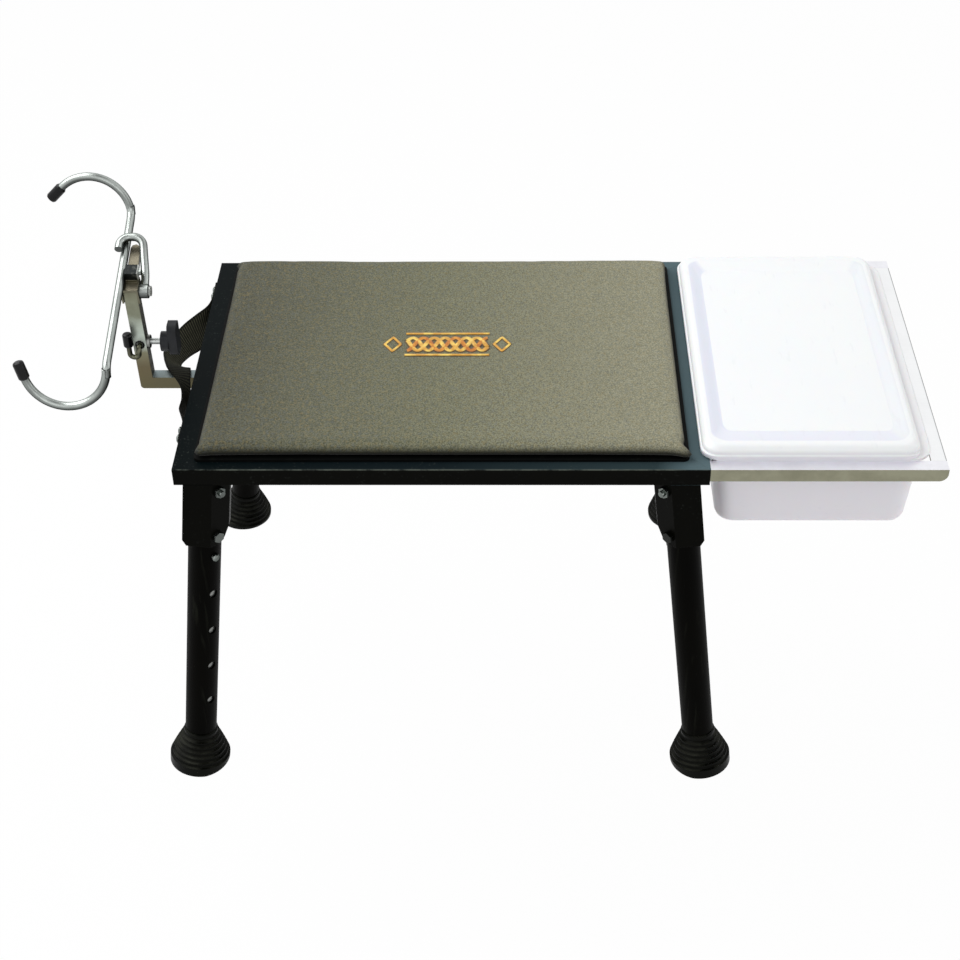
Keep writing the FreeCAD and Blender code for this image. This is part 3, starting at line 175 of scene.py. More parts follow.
class Wiring:
    """A node tree and the one way that nodes are added to it."""

    def __init__(self, tree):
        self.tree = tree

    def add(self, kind, settings, values, out=0):
        """A node: its settings first, then its sockets' values or links; gives one output."""
        node = self.tree.nodes.new(kind)
        for key, choice in settings.items():
            if key == "stops":
                fill_ramp(node.color_ramp, choice)
            else:
                setattr(node, key, choice)
        for key, value in values.items():
            self.join(value, node.inputs[key])
        return Tone(self, node.outputs[out])

    def join(self, value, socket):
        if isinstance(value, Tone):
            self.tree.links.new(value.socket, socket)
        elif isinstance(value, tuple) and socket.type == "RGBA":
            socket.default_value = (*value, 1)
        else:
            socket.default_value = value

    def seen(self):
        """1 where the camera, a mirror or clear plastic looks, 0 for the light itself."""
        rays = self.add("ShaderNodeLightPath", {}, {}, out="Is Camera Ray")
        return rays.most(rays.beside("Is Glossy Ray")).most(rays.beside("Is Transmission Ray"))


def fill_ramp(ramp, stops):
    while len(ramp.elements) < len(stops):
        ramp.elements.new(0.5)
    for element, (where, colour) in zip(ramp.elements, stops):
        element.position = where
        element.color = (*colour, 1)


class Finish(Wiring):
    """A material of a principled shader, with the nodes that feed it."""

    def __init__(self, name, colour, roughness, metallic=0.0, **sockets):
        self.material = bpy.data.materials.new(name)
        self.material.use_nodes = True
        self.material.diffuse_color = (*colour, 1)
        super().__init__(self.material.node_tree)
        self.shader = self.tree.nodes["Principled BSDF"]
        self.set("Base Color", colour)
        self.set("Roughness", roughness)
        self.set("Metallic", metallic)
        for key, number in sockets.items():
            self.set(key.replace("_", " "), number)
        self.place = self.add("ShaderNodeTexCoord", {}, {}, out="Object")

    def set(self, key, value):
        self.join(value, self.shader.inputs[key])

    def axes(self, vector=None):
        """The three parts of a vector, or of the place on the piece."""
        x = self.add("ShaderNodeSeparateXYZ", {}, {0: vector or self.place})
        return x, x.beside(1), x.beside(2)

    def facing(self):
        """The three parts of the surface's direction in the piece's own frame."""
        return self.axes(self.place.beside("Normal"))

    def noise(self, scale, detail=3.0, roughness=0.5, stretch=None):
        source = self.place
        if stretch:
            source = self.add("ShaderNodeMapping", {}, {"Vector": source, "Scale": stretch})
        return self.add("ShaderNodeTexNoise", {}, {
            "Vector": source, "Scale": scale, "Detail": detail, "Roughness": roughness})

    def ramp(self, value, stops):
        return self.add("ShaderNodeValToRGB", {"stops": stops}, {0: value})

    def blend(self, factor, first, second):
        """Two colours mixed by a factor."""
        sockets = {0: factor, 6: first, 7: second}
        return self.add("ShaderNodeMix", {"data_type": "RGBA"}, sockets, out=2)

    def bump(self, height, strength, distance=0.0005, rounded=0.0):
        values = {"Height": height, "Strength": strength, "Distance": distance}
        if rounded:
            values["Normal"] = self.add("ShaderNodeBevel", {"samples": 4}, {"Radius": rounded})
        self.set("Normal", self.add("ShaderNodeBump", {}, values))


def steps(value, low, high):
    """0 below low, 1 above high and a straight run between them."""
    return ((value - low) * (1 / (high - low))).held()


def falls(value, low, high):
    """1 below low, 0 above high and a straight run between them."""
    return steps(-value, -high, -low)


# Floor and surround: white to the camera and to mirrors, plain light for the rest.
# The surround is grey overhead, which gives round metal its dark streaks.

floor_cover = Finish("pale_floor", (0.93, 0.93, 0.93), 0.9)
floor_dust = floor_cover.noise(3, 2)
floor_cover.set("Base Color", floor_cover.blend(
    floor_dust, (0.92, 0.92, 0.92), (0.94, 0.94, 0.94)))
floor_white = floor_cover.add("ShaderNodeEmission", {}, {
    "Color": (1.0, 1.0, 1.0), "Strength": 1.0})
floor_share = 0.965  # of pure white, so that a trace of the lamps' fall-off is left
floor_mix = floor_cover.add("ShaderNodeMixShader", {}, {
    0: floor_cover.seen() * floor_share,
    1: Tone(floor_cover, floor_cover.shader.outputs[0]), 2: floor_white})
floor_cover.join(floor_mix, floor_cover.tree.nodes["Material Output"].inputs["Surface"])
floor.data.materials.append(floor_cover.material)

world = bpy.data.worlds.new("surround")
bpy.context.scene.world = world
world.use_nodes = True
sky = Wiring(world.node_tree)
sky_light = sky.add("ShaderNodeBackground", {}, {"Color": (1.0, 1.0, 1.0), "Strength": 0.5})
overhead = sky.add("ShaderNodeSeparateXYZ", {}, {0: sky.add("ShaderNodeTexCoord", {}, {})}, out=2)
sky_white = sky.add("ShaderNodeBackground", {}, {
    "Color": (1.0, 1.0, 1.0), "Strength": 1.0 - steps(overhead, 0.80, 0.94) * 0.75})
sky_mix = sky.add("ShaderNodeMixShader", {}, {0: sky.seen(), 1: sky_light, 2: sky_white})
sky.join(sky_mix, sky.tree.nodes["World Output"].inputs["Surface"])


# Finishes

def satin_paint():
    """Near-black frame paint; a painted reflection makes its upper faces cold grey, paler to the
    right, and a painted highlight runs along the rubbed front edge.
    """
    paint = Finish("satin_frame_paint", screen(24, 27, 25), 0.38, Specular_IOR_Level=0.035)
    x, y, z = paint.axes()
    _, _, nz = paint.facing()
    upper = steps(nz, 0.6, 0.9)
    across = steps(x, seat(-250, 0, 0).x, seat(250, 0, 0).x)
    cloud = paint.noise(11, 4)
    speck = paint.noise(420, 3)
    side = paint.blend(cloud, screen(5, 6, 4), screen(15, 15, 10))
    # Painted reflection: the upper faces are lighter and colder than the darker sides, and paler to
    # the right.
    painted_reflection = paint.ramp(across + (cloud - 0.5) * 0.06, [
        (0.0, screen(10, 18, 19)), (0.5, screen(26, 34, 37)), (0.9, screen(48, 61, 64)),
        (0.96, screen(84, 102, 107)), (1.0, screen(90, 108, 113))])
    base = paint.blend(upper, side, painted_reflection)
    dust = steps(speck, 0.62, 0.74) * steps(paint.noise(26, 2), 0.42, 0.62) * (upper * 0.7 + 0.3)
    base = paint.blend(dust * 0.4, base, screen(84, 90, 86))
    # Painted highlight along the front rail's top edge, broken up by noise like rubbed paint.
    arris = falls(y, seat(0, 0.7, 0).y, seat(0, 1.5, 0).y)
    arris = arris * steps(z, seat(0, 0, 369).z, seat(0, 0, 369.6).z)
    worn = arris * steps(paint.noise(60, 4, 0.7), 0.36, 0.56)
    paint.set("Base Color", paint.blend(worn * 0.7, base, screen(98, 104, 96)))
    paint.set("Roughness", 0.34 + cloud * 0.12 + dust * 0.3)
    paint.bump(paint.noise(900, 2), 0.10, 0.0004, rounded=0.0009)
    return paint.material


def leg_paint():
    """Near-black tube paint with faint long rub marks."""
    paint = Finish("matt_leg_paint", screen(13, 13, 10), 0.40, Specular_IOR_Level=0.025)
    cloud = paint.noise(14, 4)
    mark = steps(paint.noise(60, 4, stretch=(3, 3, 0.12)), 0.60, 0.74)
    base = paint.blend(cloud, screen(5, 5, 3), screen(14, 13, 9))
    paint.set("Base Color", paint.blend(mark * 0.22, base, screen(52, 54, 46)))
    paint.set("Roughness", 0.40 + cloud * 0.14)
    paint.bump(paint.noise(700, 2), 0.10, 0.0004, rounded=0.0007)
    return paint.material


def pad_cloth(low_edge):
    """Olive grey canvas of mixed yarns, with painted light that makes it paler to the right, and
    painted shade in a dark band along its foot at the board.
    """
    cloth = Finish("olive_canvas", screen(124, 125, 104), 0.88, Sheen_Weight=0.10,
                   Sheen_Roughness=0.5, Specular_IOR_Level=0.2)
    x, y, z = cloth.axes()
    yarn_pitch = 0.0015
    count = 2 * math.pi / yarn_pitch
    weave = (x * count).sine() * (y * count).sine() * 0.5 + 0.5
    yarn = (cloth.noise(150, 3, stretch=(9, 0.7, 1)) * 0.5
            + cloth.noise(150, 3, stretch=(0.7, 9, 1)) * 0.5)
    fleck = cloth.noise(760, 2, 0.7)
    tint = cloth.noise(330, 2, 0.6)
    cloud = cloth.noise(9, 4)
    # Painted light: the canvas is darker to the left and paler to the right.
    across = steps(x + (cloud - 0.5) * 0.04, seat(-230, 0, 0).x, seat(230, 0, 0).x)
    low = cloth.ramp(across, [(0.0, screen(58, 59, 48)), (0.5, screen(90, 91, 72)),
                              (1.0, screen(124, 122, 100))])
    high = cloth.ramp(across, [(0.0, screen(98, 98, 84)), (0.5, screen(136, 137, 113)),
                               (1.0, screen(172, 170, 147))])
    shade = cloth.blend(steps(yarn * 0.25 + fleck * 0.75, 0.40, 0.60), low, high)
    shade = cloth.blend(steps(tint, 0.54, 0.66) * 0.30, shade, screen(150, 132, 86))
    shade = cloth.blend(steps(tint, 0.46, 0.34) * 0.30, shade, screen(96, 104, 112))
    shade = cloth.blend(weave * 0.14, shade, screen(82, 82, 66))
    # Painted shade: a near-black band along the foot of the cover where it meets the board.
    band = 1 - steps(z, low_edge + 0.0050, low_edge + 0.0112)
    cloth.set("Base Color", cloth.blend(band * 0.92, shade, screen(18, 20, 16)))
    cloth.set("Roughness", 0.82 + fleck * 0.14)
    cloth.bump(weave * 0.5 + yarn * 0.4 + fleck * 0.8, 0.6, 0.0006)
    return cloth.material


def stitch_thread(name, colour, light, turned):
    """Raised satin stitch: fine threads across the strand, dark brown along both its edges."""
    thread = Finish(name, colour, 0.42, Sheen_Weight=0.15)
    x, y, _ = thread.axes()
    thread_pitch = 0.0008
    lines = ((x * turned + y) * (2 * math.pi / thread_pitch)).sine() * 0.5 + 0.5
    grain = thread.noise(600, 2)
    dark = tuple(c * 0.6 for c in colour)
    shade = thread.blend(lines * 0.5 + grain * 0.3, dark, colour)
    shade = thread.blend(steps(thread.noise(90, 3), 0.46, 0.60), shade, light)
    _, v, _ = thread.axes(thread.add("ShaderNodeUVMap", {"uv_map": "weave"}, {}))
    outline = steps((v - 0.5).size(), 0.28, 0.35)
    thread.set("Base Color", thread.blend(outline * 0.9, shade, screen(62, 44, 18)))
    thread.set("Roughness", 0.36 + grain * 0.16)
    thread.bump(lines + grain * 0.4, 0.6, 0.0004)
    return thread.material


def black_board():
    """Plywood under black paint, with the grain telegraphing through and grey rubs."""
    board = Finish("painted_board", screen(14, 16, 15), 0.6, Specular_IOR_Level=0.08)
    grain = board.noise(26, 6, stretch=(0.25, 6, 1))
    face = board.blend(grain, screen(5, 6, 5), screen(13, 15, 14))
    worn = steps(board.noise(70, 4), 0.60, 0.72)
    board.set("Base Color", board.blend(worn * 0.4, face, screen(28, 30, 27)))
    board.set("Roughness", 0.52 + grain * 0.2)
    board.bump(grain, 0.3, 0.0004, rounded=0.0006)
    return board.material


def zinc(name, tint, roughness=0.16, thread=0.0, relief=0.15, under=0.55, over=None):
    """Bright plated wire and fasteners: small scratches, a milky bloom, and painted shade on the
    underside.

    Under, from 0 to 1, is how dark the painted shade on the underside is. Over is two points: what
    lies beyond the first to the right, and nearer and lower than the second, is under black paint.
    """
    metal = Finish(name, tint, roughness, 1.0, Specular_Tint=screen(96, 104, 100))
    bloom = metal.noise(38, 5)
    scratch = steps(metal.noise(240, 4, stretch=(1, 0.16, 1)), 0.60, 0.70)
    dull = tuple(c * 0.55 for c in tint)
    height = bloom * 0.5 + scratch
    if thread:
        x, _, _ = metal.axes()
        height = height + (x * (2 * math.pi / thread)).sine() * 2.5
    nx, _, nz = metal.facing()
    shade = metal.blend(steps(bloom, 0.42, 0.68) * 0.7 + scratch * 0.3, tint, dull)
    # Painted shade: faces turned down and to the right are darkened, as far as under says.
    lower = steps(-nz + nx * 0.45, -0.55, 0.15)
    shade = metal.blend(lower * under, shade, tuple(c * 0.10 for c in tint))
    if over:
        x, y, z = metal.axes()
        first, second = over
        painted = (steps(x, first.x, first.x + MM) * falls(y, second.y - MM, second.y)
                   * falls(z, second.z - MM, second.z))
        shade = metal.blend(painted, shade, screen(16, 17, 14))
        metal.set("Metallic", 1.0 - painted)
    metal.set("Base Color", shade)
    metal.set("Roughness", roughness + bloom * 0.14 + scratch * 0.12)
    metal.bump(height, relief, 0.0003, rounded=0.0003)
    return metal.material


def aluminium(name, top, side, stops=None, soil=0.3, arris=None):
    """Drawn aluminium with fine lines along it and random stains; its upper and upright faces take
    different colours as painted reflections, and faces turned to the right carry painted shade.

    Stops, if any, are the colours of its sides from low to high, a painted reflection. Arris is the
    level along x of an edge painted grey as the shade of a small chamfer.
    """
    metal = Finish(name, top, 0.34, 1.0, Specular_Tint=(0.8, 0.8, 0.8))
    x, _, z = metal.axes()
    nx, _, nz = metal.facing()
    lines = metal.noise(90, 5, stretch=(0.5, 9, 9))
    stain = metal.noise(30, 5, 0.6)
    if stops:
        climb = steps(z + (stain - 0.5) * 0.02, seat(0, 0, 350).z, seat(0, 0, 475).z)
        side = metal.ramp(climb, stops)
    # Painted shade on faces turned to the right; painted reflection: tops take the top colour,
    # upright faces the side colour.
    flank = metal.blend(steps(nx, 0.5, 0.8), side, screen(70, 70, 60))
    flank = metal.blend(steps(stain, 0.46, 0.66) * 0.3, flank, screen(100, 98, 80))
    colour = metal.blend(steps(nz, 0.35, 0.75), flank, top)
    colour = metal.blend(steps(stain, 0.45, 0.70) * soil, colour, screen(96, 92, 74))
    if arris:
        # Painted shade: a thin grey line along the edge, standing for a small chamfer.
        edge = steps(x, arris - 0.0011, arris - 0.0004)
        colour = metal.blend(edge * 0.8, colour, screen(120, 122, 124))
    metal.set("Base Color", metal.blend(lines * 0.16 * (0.3 + soil), colour, screen(120, 120, 112)))
    metal.set("Roughness", 0.30 + lines * 0.16 + stain * 0.1)
    metal.bump(lines, 0.16, 0.0003, rounded=0.0007)
    return metal.material


def foot_rubber():
    """Moulded black rubber; grey on the ledges of its rings stands for dust and for a painted
    highlight.
    """
    rubber = Finish("foot_rubber", screen(14, 15, 12), 0.42, Specular_IOR_Level=0.05)
    _, _, nz = rubber.facing()
    cloud = rubber.noise(45, 4)
    grain = rubber.noise(900, 2)
    base = rubber.blend(cloud, screen(7, 8, 6), screen(20, 21, 16))
    # Dust and painted highlight: the upward ledges of the rings are greyed in patches.
    dust = steps(nz, 0.70, 0.98) * steps(cloud, 0.42, 0.66)
    rubber.set("Base Color", rubber.blend(dust * 0.5, base, screen(66, 67, 60)))
    rubber.set("Roughness", 0.26 + cloud * 0.2 + dust * 0.2)
    rubber.bump(grain * 0.6 + cloud * 0.4, 0.28, 0.0005, rounded=0.0005)
    return rubber.material


def gloss_cap():
    """Shiny dipped rubber."""
    cap = Finish("gloss_cap", screen(12, 12, 13), 0.22, Specular_IOR_Level=0.22)
    cloud = cap.noise(120, 3)
    cap.set("Base Color", cap.blend(cloud, screen(8, 8, 9), screen(20, 20, 22)))
    cap.set("Roughness", 0.18 + cloud * 0.14)
    cap.bump(cloud, 0.15, 0.0003, rounded=0.0006)
    return cap.material


def box_plastic(name, middle):
    """White moulded plastic: satin, faintly clouded, with painted shade on its walls and undersides
    and on the slopes that fall away from its middle.
    """
    plastic = Finish(name, screen(250, 251, 252), 0.36, Subsurface_Weight=0.10,
                     Subsurface_Scale=0.004, Specular_IOR_Level=0.3)
    x, y, _ = plastic.axes()
    nx, ny, nz = plastic.facing()
    cloud = plastic.noise(12, 4)
    scuff = steps(plastic.noise(160, 5, stretch=(1, 0.2, 1)), 0.63, 0.70)
    base = plastic.blend(cloud, screen(250, 251, 253), screen(254, 254, 254))
    # Painted shade: walls and undersides are a little darker and lavender.
    base = plastic.blend(steps(-nz, -0.3, 0.0), base, screen(240, 236, 242))
    # Painted shade on the shallow slopes round the lid's panel: bluish at the left and front, faint
    # grey at the right.
    shallow = steps(nz, 0.90, 0.94)
    reach = 0.01
    left = steps(nx, 0.04, 0.10) * shallow * falls(x, middle.x - reach, middle.x)
    front = steps(ny, 0.05, 0.12) * shallow * falls(y, middle.y - reach, middle.y)
    base = plastic.blend(left, base, screen(234, 236, 248))
    base = plastic.blend(front, base, screen(240, 240, 250))
    right = steps(-nx, 0.04, 0.10) * shallow * steps(x, middle.x, middle.x + reach)
    base = plastic.blend(right, base, screen(243, 244, 248))
    plastic.set("Base Color", plastic.blend(scuff * 0.12, base, screen(214, 216, 224)))
    plastic.set("Roughness", 0.30 + cloud * 0.12 + scuff * 0.2)
    plastic.bump(plastic.noise(500, 2), 0.06, 0.0004, rounded=0.0016)
    return plastic.material


def knob_plastic():
    """Hard dark plastic of the clamp knob, faintly clouded."""
    knob = Finish("knob_plastic", screen(40, 42, 44), 0.34, Specular_IOR_Level=0.2)
    grain = knob.noise(800, 2)
    cloud = knob.noise(60, 3)
    knob.set("Base Color", knob.blend(cloud, screen(22, 23, 25), screen(52, 54, 57)))
    knob.set("Roughness", 0.28 + cloud * 0.16)
    knob.bump(grain, 0.2, 0.0003, rounded=0.0012)
    return knob.material


def dark_steel(name, split):
    """Blackened steel with worn edges; beyond the split across it, bare steel."""
    steel = Finish(name, screen(26, 30, 30), 0.34, 0.7)
    x, _, _ = steel.axes()
    wear = steel.noise(130, 4)
    black = steel.blend(steps(wear, 0.56, 0.70) * 0.6, screen(22, 27, 27), screen(110, 112, 106))
    bare = steel.blend(wear, screen(120, 124, 120), screen(196, 198, 194))
    steel.set("Base Color", steel.blend(steps(x, split, split + MM), black, bare))
    steel.set("Roughness", 0.24 + wear * 0.2)
    steel.bump(wear, 0.15, 0.0003, rounded=0.0006)
    return steel.material


def spring_steel():
    """Bright tempered strip with a faint straw tint."""
    steel = Finish("spring_steel", screen(164, 164, 168), 0.28, 1.0)
    heat = steel.noise(70, 4)
    steel.set("Base Color", steel.blend(heat, screen(156, 156, 163), screen(180, 176, 166)))
    steel.set("Roughness", 0.24 + heat * 0.12)
    steel.bump(heat, 0.1, 0.0003)
    return steel.material


def webbing(wide):
    """Black ribbed webbing, olive where the ribs catch the light; its front loop is darker with
    painted shade.
    """
    web = Finish("ribbed_webbing", screen(30, 30, 24), 0.8, Specular_IOR_Level=0.15)
    u, v, _ = web.axes(web.add("ShaderNodeUVMap", {"uv_map": "weave"}, {}))
    rib_pitch = 0.0031
    thread_pitch = 0.0011
    rib = ((u - v * 0.12) * (2 * math.pi / rib_pitch)).sine() * 0.5 + 0.5
    thread = (v * (2 * math.pi / thread_pitch)).sine() * 0.5 + 0.5
    grain = web.noise(700, 3)
    shade = web.blend(rib ** 2.0 * 0.85 + grain * 0.15, screen(8, 8, 7), screen(88, 88, 71))
    edge = steps((v - wide / 2).size(), 0.42 * wide, 0.46 * wide)
    shade = web.blend(edge * 0.8, shade, screen(16, 17, 13))
    # Painted shade: the loop towards the front is darkened.
    _, y, _ = web.axes()
    front_loop_shade = falls(y, seat(0, 166, 0).y, seat(0, 186, 0).y)
    web.set("Base Color", web.blend(front_loop_shade * 0.72, shade, screen(12, 13, 10)))
    web.set("Roughness", 0.72 + grain * 0.2)
    web.bump(rib * 0.8 + thread * 0.25 + grain * 0.2, 0.8, 0.0009)
    return web.material


pad_low, pad_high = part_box("seat_pad")
lid_low, lid_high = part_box("bait_box_lid")
bolt_low, bolt_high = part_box("rest_pivot_bolt")
_, block_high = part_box("rest_clamp_block")
lid_middle = (lid_low + lid_high) / 2
paint_frame = satin_paint()
paint_leg = leg_paint()
plated = zinc("bright_zinc", screen(146, 152, 148))
# The front right bracket's lower bolt is black
bolt_metal = zinc("bolt_zinc", screen(146, 152, 148), over=(seat(150, 0, 0), seat(0, 60, 312)))
wire = zinc("plated_wire", screen(186, 192, 188), 0.24, relief=0.02, under=0.88)
# Painted shade: the small hook's wire is given a darker, browner tint than the other wires.
hook_wire = zinc("painted_shade_wire", screen(112, 112, 96), 0.3)
tube = zinc("plated_tube", screen(190, 192, 188), 0.3)
# Painted reflection: near-white on top, tan on the upright faces.
tray_metal = aluminium("tray_aluminium", screen(250, 250, 255), screen(148, 147, 127), soil=0.08)
_, bar_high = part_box("tray_outer_bar")
edge_metal = aluminium("edge_aluminium", screen(253, 254, 255), screen(148, 147, 127), soil=0.03,
                       arris=bar_high.x)
# Painted reflection up the bar's sides: brown low down, a bright band part way up.
bar_metal = aluminium("bar_aluminium", screen(128, 140, 142), screen(120, 116, 92), [
    (0.0, screen(98, 94, 72)), (0.25, screen(108, 98, 76)), (0.36, screen(128, 126, 104)),
    (0.46, screen(204, 214, 206)), (0.58, screen(186, 196, 184)), (0.74, screen(138, 142, 124)),
    (1.0, screen(136, 136, 116))])
head_metal = aluminium("head_aluminium", screen(128, 122, 106), screen(120, 117, 100))
pivot_steel = dark_steel("pivot_steel", (bolt_low.x + bolt_high.x) / 2)
bare_end = 0.0012
block_steel = dark_steel("block_steel", block_high.x - bare_end)
cap_finish = gloss_cap()
rubber_finish = foot_rubber()
spring_finish = spring_steel()
box_finish = box_plastic("white_polypropylene", lid_middle)

finishes = {
    "front_rail": paint_frame, "back_rail": paint_frame,
    "left_rail": paint_frame, "right_rail": paint_frame,
    "seat_board": black_board(), "board_screws": plated,
    "leg_bolts": bolt_metal, "leg_nuts": plated,
    "tray_screws": plated, "strap_rivets": plated,
    "rest_screw": plated, "rest_block_bolt": plated,
    "rod_hook": wire, "hook_bail": wire, "small_hook": hook_wire,
    "clamp_screw": zinc("threaded_zinc", screen(196, 200, 198), 0.16, 0.001),
    "clamp_washer": zinc("dull_zinc", screen(160, 162, 158), 0.25),
    "rest_pivot_bolt": pivot_steel, "rest_clamp_block": block_steel,
    "clamp_knob": knob_plastic(),
    "tray_front_arm": tray_metal, "tray_back_arm": tray_metal,
    "tray_outer_bar": edge_metal,
    "rest_bracket": bar_metal, "rest_head_plate": head_metal,
    "front_hook_cap": cap_finish, "rear_hook_cap": cap_finish,
    "small_hook_cap": cap_finish,
    "bait_box": box_finish, "bait_box_lid": box_finish,
}
CORNERS = ("front_left", "front_right", "back_left", "back_right")
for corner in CORNERS:
    finishes[corner + "_bracket"] = paint_frame
    finishes[corner + "_outer_tube"] = paint_leg
    finishes[corner + "_inner_tube"] = tube
    finishes[corner + "_foot"] = rubber_finish
    finishes[corner + "_snap_button"] = plated
    finishes[corner + "_snap_spring"] = spring_finish

for name, material in finishes.items():
    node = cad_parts[name]
    node.data.materials.clear()
    node.data.materials.append(material)


# Modelling tools

same_level = 1e-6


def rise_of(edge):
    """How far an edge climbs from one end to the other."""
    return abs(edge.verts[0].co.z - edge.verts[1].co.z)


def bevelled(shape, edges, offset, segments=4):
    """Rounds edges of a shape."""
    bmesh.ops.bevel(shape, geom=edges, offset=offset, segments=segments, profile=0.5,
                    affect="EDGES", material=-1)


def finished(name, shape, material):
    """A mesh made from a bmesh, smooth, as an object at the origin."""
    mesh = bpy.data.meshes.new(name)
    shape.to_mesh(mesh)
    shape.free()
    for face in mesh.polygons:
        face.use_smooth = True
    item = bpy.data.objects.new(name, mesh)
    bpy.context.collection.objects.link(item)
    mesh.materials.append(material)
    return item


def applied(item):
    """The item's mesh with its modifiers worked into it."""
    graph = bpy.context.evaluated_depsgraph_get()
    done = bpy.data.meshes.new_from_object(item.evaluated_get(graph))
    item.modifiers.clear()
    old = item.data
    item.data = done
    bpy.data.meshes.remove(old)
    return item


def modified(item, kind, **settings):
    """The item after one modifier has been worked into it."""
    change = item.modifiers.new(kind.lower(), kind)
    for key, choice in settings.items():
        setattr(change, key, choice)
    return applied(item)


def band(name, along, across, place, material):
    """A flat band: a grid, each point put where its shares of the length and the width say."""
    shape = bmesh.new()
    bmesh.ops.create_grid(shape, x_segments=along, y_segments=across, size=0.5)
    layer = shape.loops.layers.uv.new("weave")
    low = min(v.co.x for v in shape.verts)
    wide = -2 * low
    for face in shape.faces:
        for loop in face.loops:
            share = (loop.vert.co.x - low) / wide
            _, loop[layer].uv = place(share, (loop.vert.co.y - low) / wide)
    for vertex in shape.verts:
        vertex.co, _ = place((vertex.co.x - low) / wide, (vertex.co.y - low) / wide)
    bmesh.ops.recalc_face_normals(shape, faces=shape.faces)
    return finished(name, shape, material)


# Bent wires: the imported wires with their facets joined, so that the plating shines in one streak

merge_gap = 1e-6
sharp_turn = 0.7  # radians


def joined(name, node, material, body=None):
    """A node's shape with its triangles joined and smooth, apart from its sharp edges."""
    shape = bmesh.new()
    shape.from_mesh(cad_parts[node].data)
    bmesh.ops.remove_doubles(shape, verts=shape.verts, dist=merge_gap)
    for edge in shape.edges:
        edge.smooth = len(edge.link_faces) == 2 and edge.calc_face_angle() < sharp_turn
    item = finished(name, shape, material)
    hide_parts(node)
    if body:
        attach(item, body)
    return item


joined("rod_hook_wire", "rod_hook", wire, "rest_head")
joined("hook_bail_wire", "hook_bail", wire, "rest_head")
joined("small_hook_wire", "small_hook", hook_wire, "small_hook")

# Leaf springs: each spring's shape with its triangles joined and smooth, left in place.

for corner in CORNERS:
    leaf = joined(corner + "_leaf", corner + "_snap_spring", spring_finish)
    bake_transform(leaf)

# Seat pad: foam in a canvas cover, swollen by a short cloth simulation

pad_middle = (pad_low + pad_high) / 2
pad_size = pad_high - pad_low
# The cover before it swells: its height, how much longer and wider it is than the pad and how
# far forward it lies, the rounding of its corners and of its edges, and its mesh
cover_high = 0.0108
cover_more_x, cover_more_y = 0.0045, 0.005
cover_forward = 0.0008
corner_round = 0.0045
rolled_edge = 0.0046
mesh_size = 0.0042
cloth_finish = pad_cloth(pad_low.z)


def pad_blank():
    """A block with rounded corners and rolled upper and lower edges."""
    shape = bmesh.new()
    bmesh.ops.create_cube(shape, size=1)
    bmesh.ops.scale(shape, verts=shape.verts, vec=(
        pad_size.x + cover_more_x, pad_size.y + cover_more_y, cover_high))
    bevelled(shape, [e for e in shape.edges if rise_of(e) > cover_high / 2], corner_round)
    bevelled(shape, [e for e in shape.edges if rise_of(e) < same_level
                    and len(e.link_faces) == 2 and e.calc_face_angle() > 1], rolled_edge)
    middle = Vector((pad_middle.x, pad_middle.y - cover_forward, pad_low.z + cover_high / 2))
    bmesh.ops.translate(shape, vec=middle, verts=shape.verts)
    return shape


pad = finished("pad_cover", pad_blank(), cloth_finish)
modified(pad, "REMESH", mode="VOXEL", voxel_size=mesh_size, use_smooth_shade=True)


def swell(item, cap, frames=20, pressure=4.0):
    """Blows the cover up a little and keeps each point within the cap of its place."""
    before = [v.co.copy() for v in item.data.vertices]
    cloth = item.modifiers.new("foam", "CLOTH")
    settings = cloth.settings
    settings.use_pressure = True
    settings.uniform_pressure_force = pressure
    settings.quality = 5
    settings.effector_weights.gravity = 0
    settings.tension_stiffness = 20
    settings.compression_stiffness = 20
    settings.shear_stiffness = 10
    settings.bending_stiffness = 1.2
    cloth.point_cache.frame_start = 1
    cloth.point_cache.frame_end = frames
    scene = bpy.context.scene
    for number in range(1, frames + 1):
        scene.frame_set(number)
    graph = bpy.context.evaluated_depsgraph_get()
    moved = item.evaluated_get(graph).to_mesh()
    after = [v.co.copy() for v in moved.vertices]
    item.modifiers.remove(cloth)
    scene.frame_set(1)
    for vertex, start, end in zip(item.data.vertices, before, after):
        shift = end - start
        if shift.length > cap:
            shift = shift * (cap / shift.length)
        vertex.co = start + shift


swell_cap = 0.004
swell(pad, swell_cap)

# Each corner of the cover: side, end, how far its ear is drawn out, how deep the fold beside it is
EARS = [(1, -1, 0.0092, 0.0034), (-1, -1, 0.0040, 0.0010), (1, 1, 0.0022, 0.0008),
        (-1, 1, 0.0034, 0.0020)]
# How far round a corner the ear is felt, how fast it falls off, and its share to the side, to
# the end and down
ear_reach = 0.0135
ear_fall = 1.7
ear_side, ear_end, ear_drop = 0.8, 0.6, 0.5
# The fold: its distance behind the corner, its width and length, and how much of it is down
fold_behind = 0.012
fold_wide = 0.0032
fold_long = 0.009
fold_drop = 0.8
# The crown of the top, how late it falls off to the edges, and the room below and above
crown_high = 0.0032
crown_power = 5
board_gap = 0.0002
top_spare = 0.0012


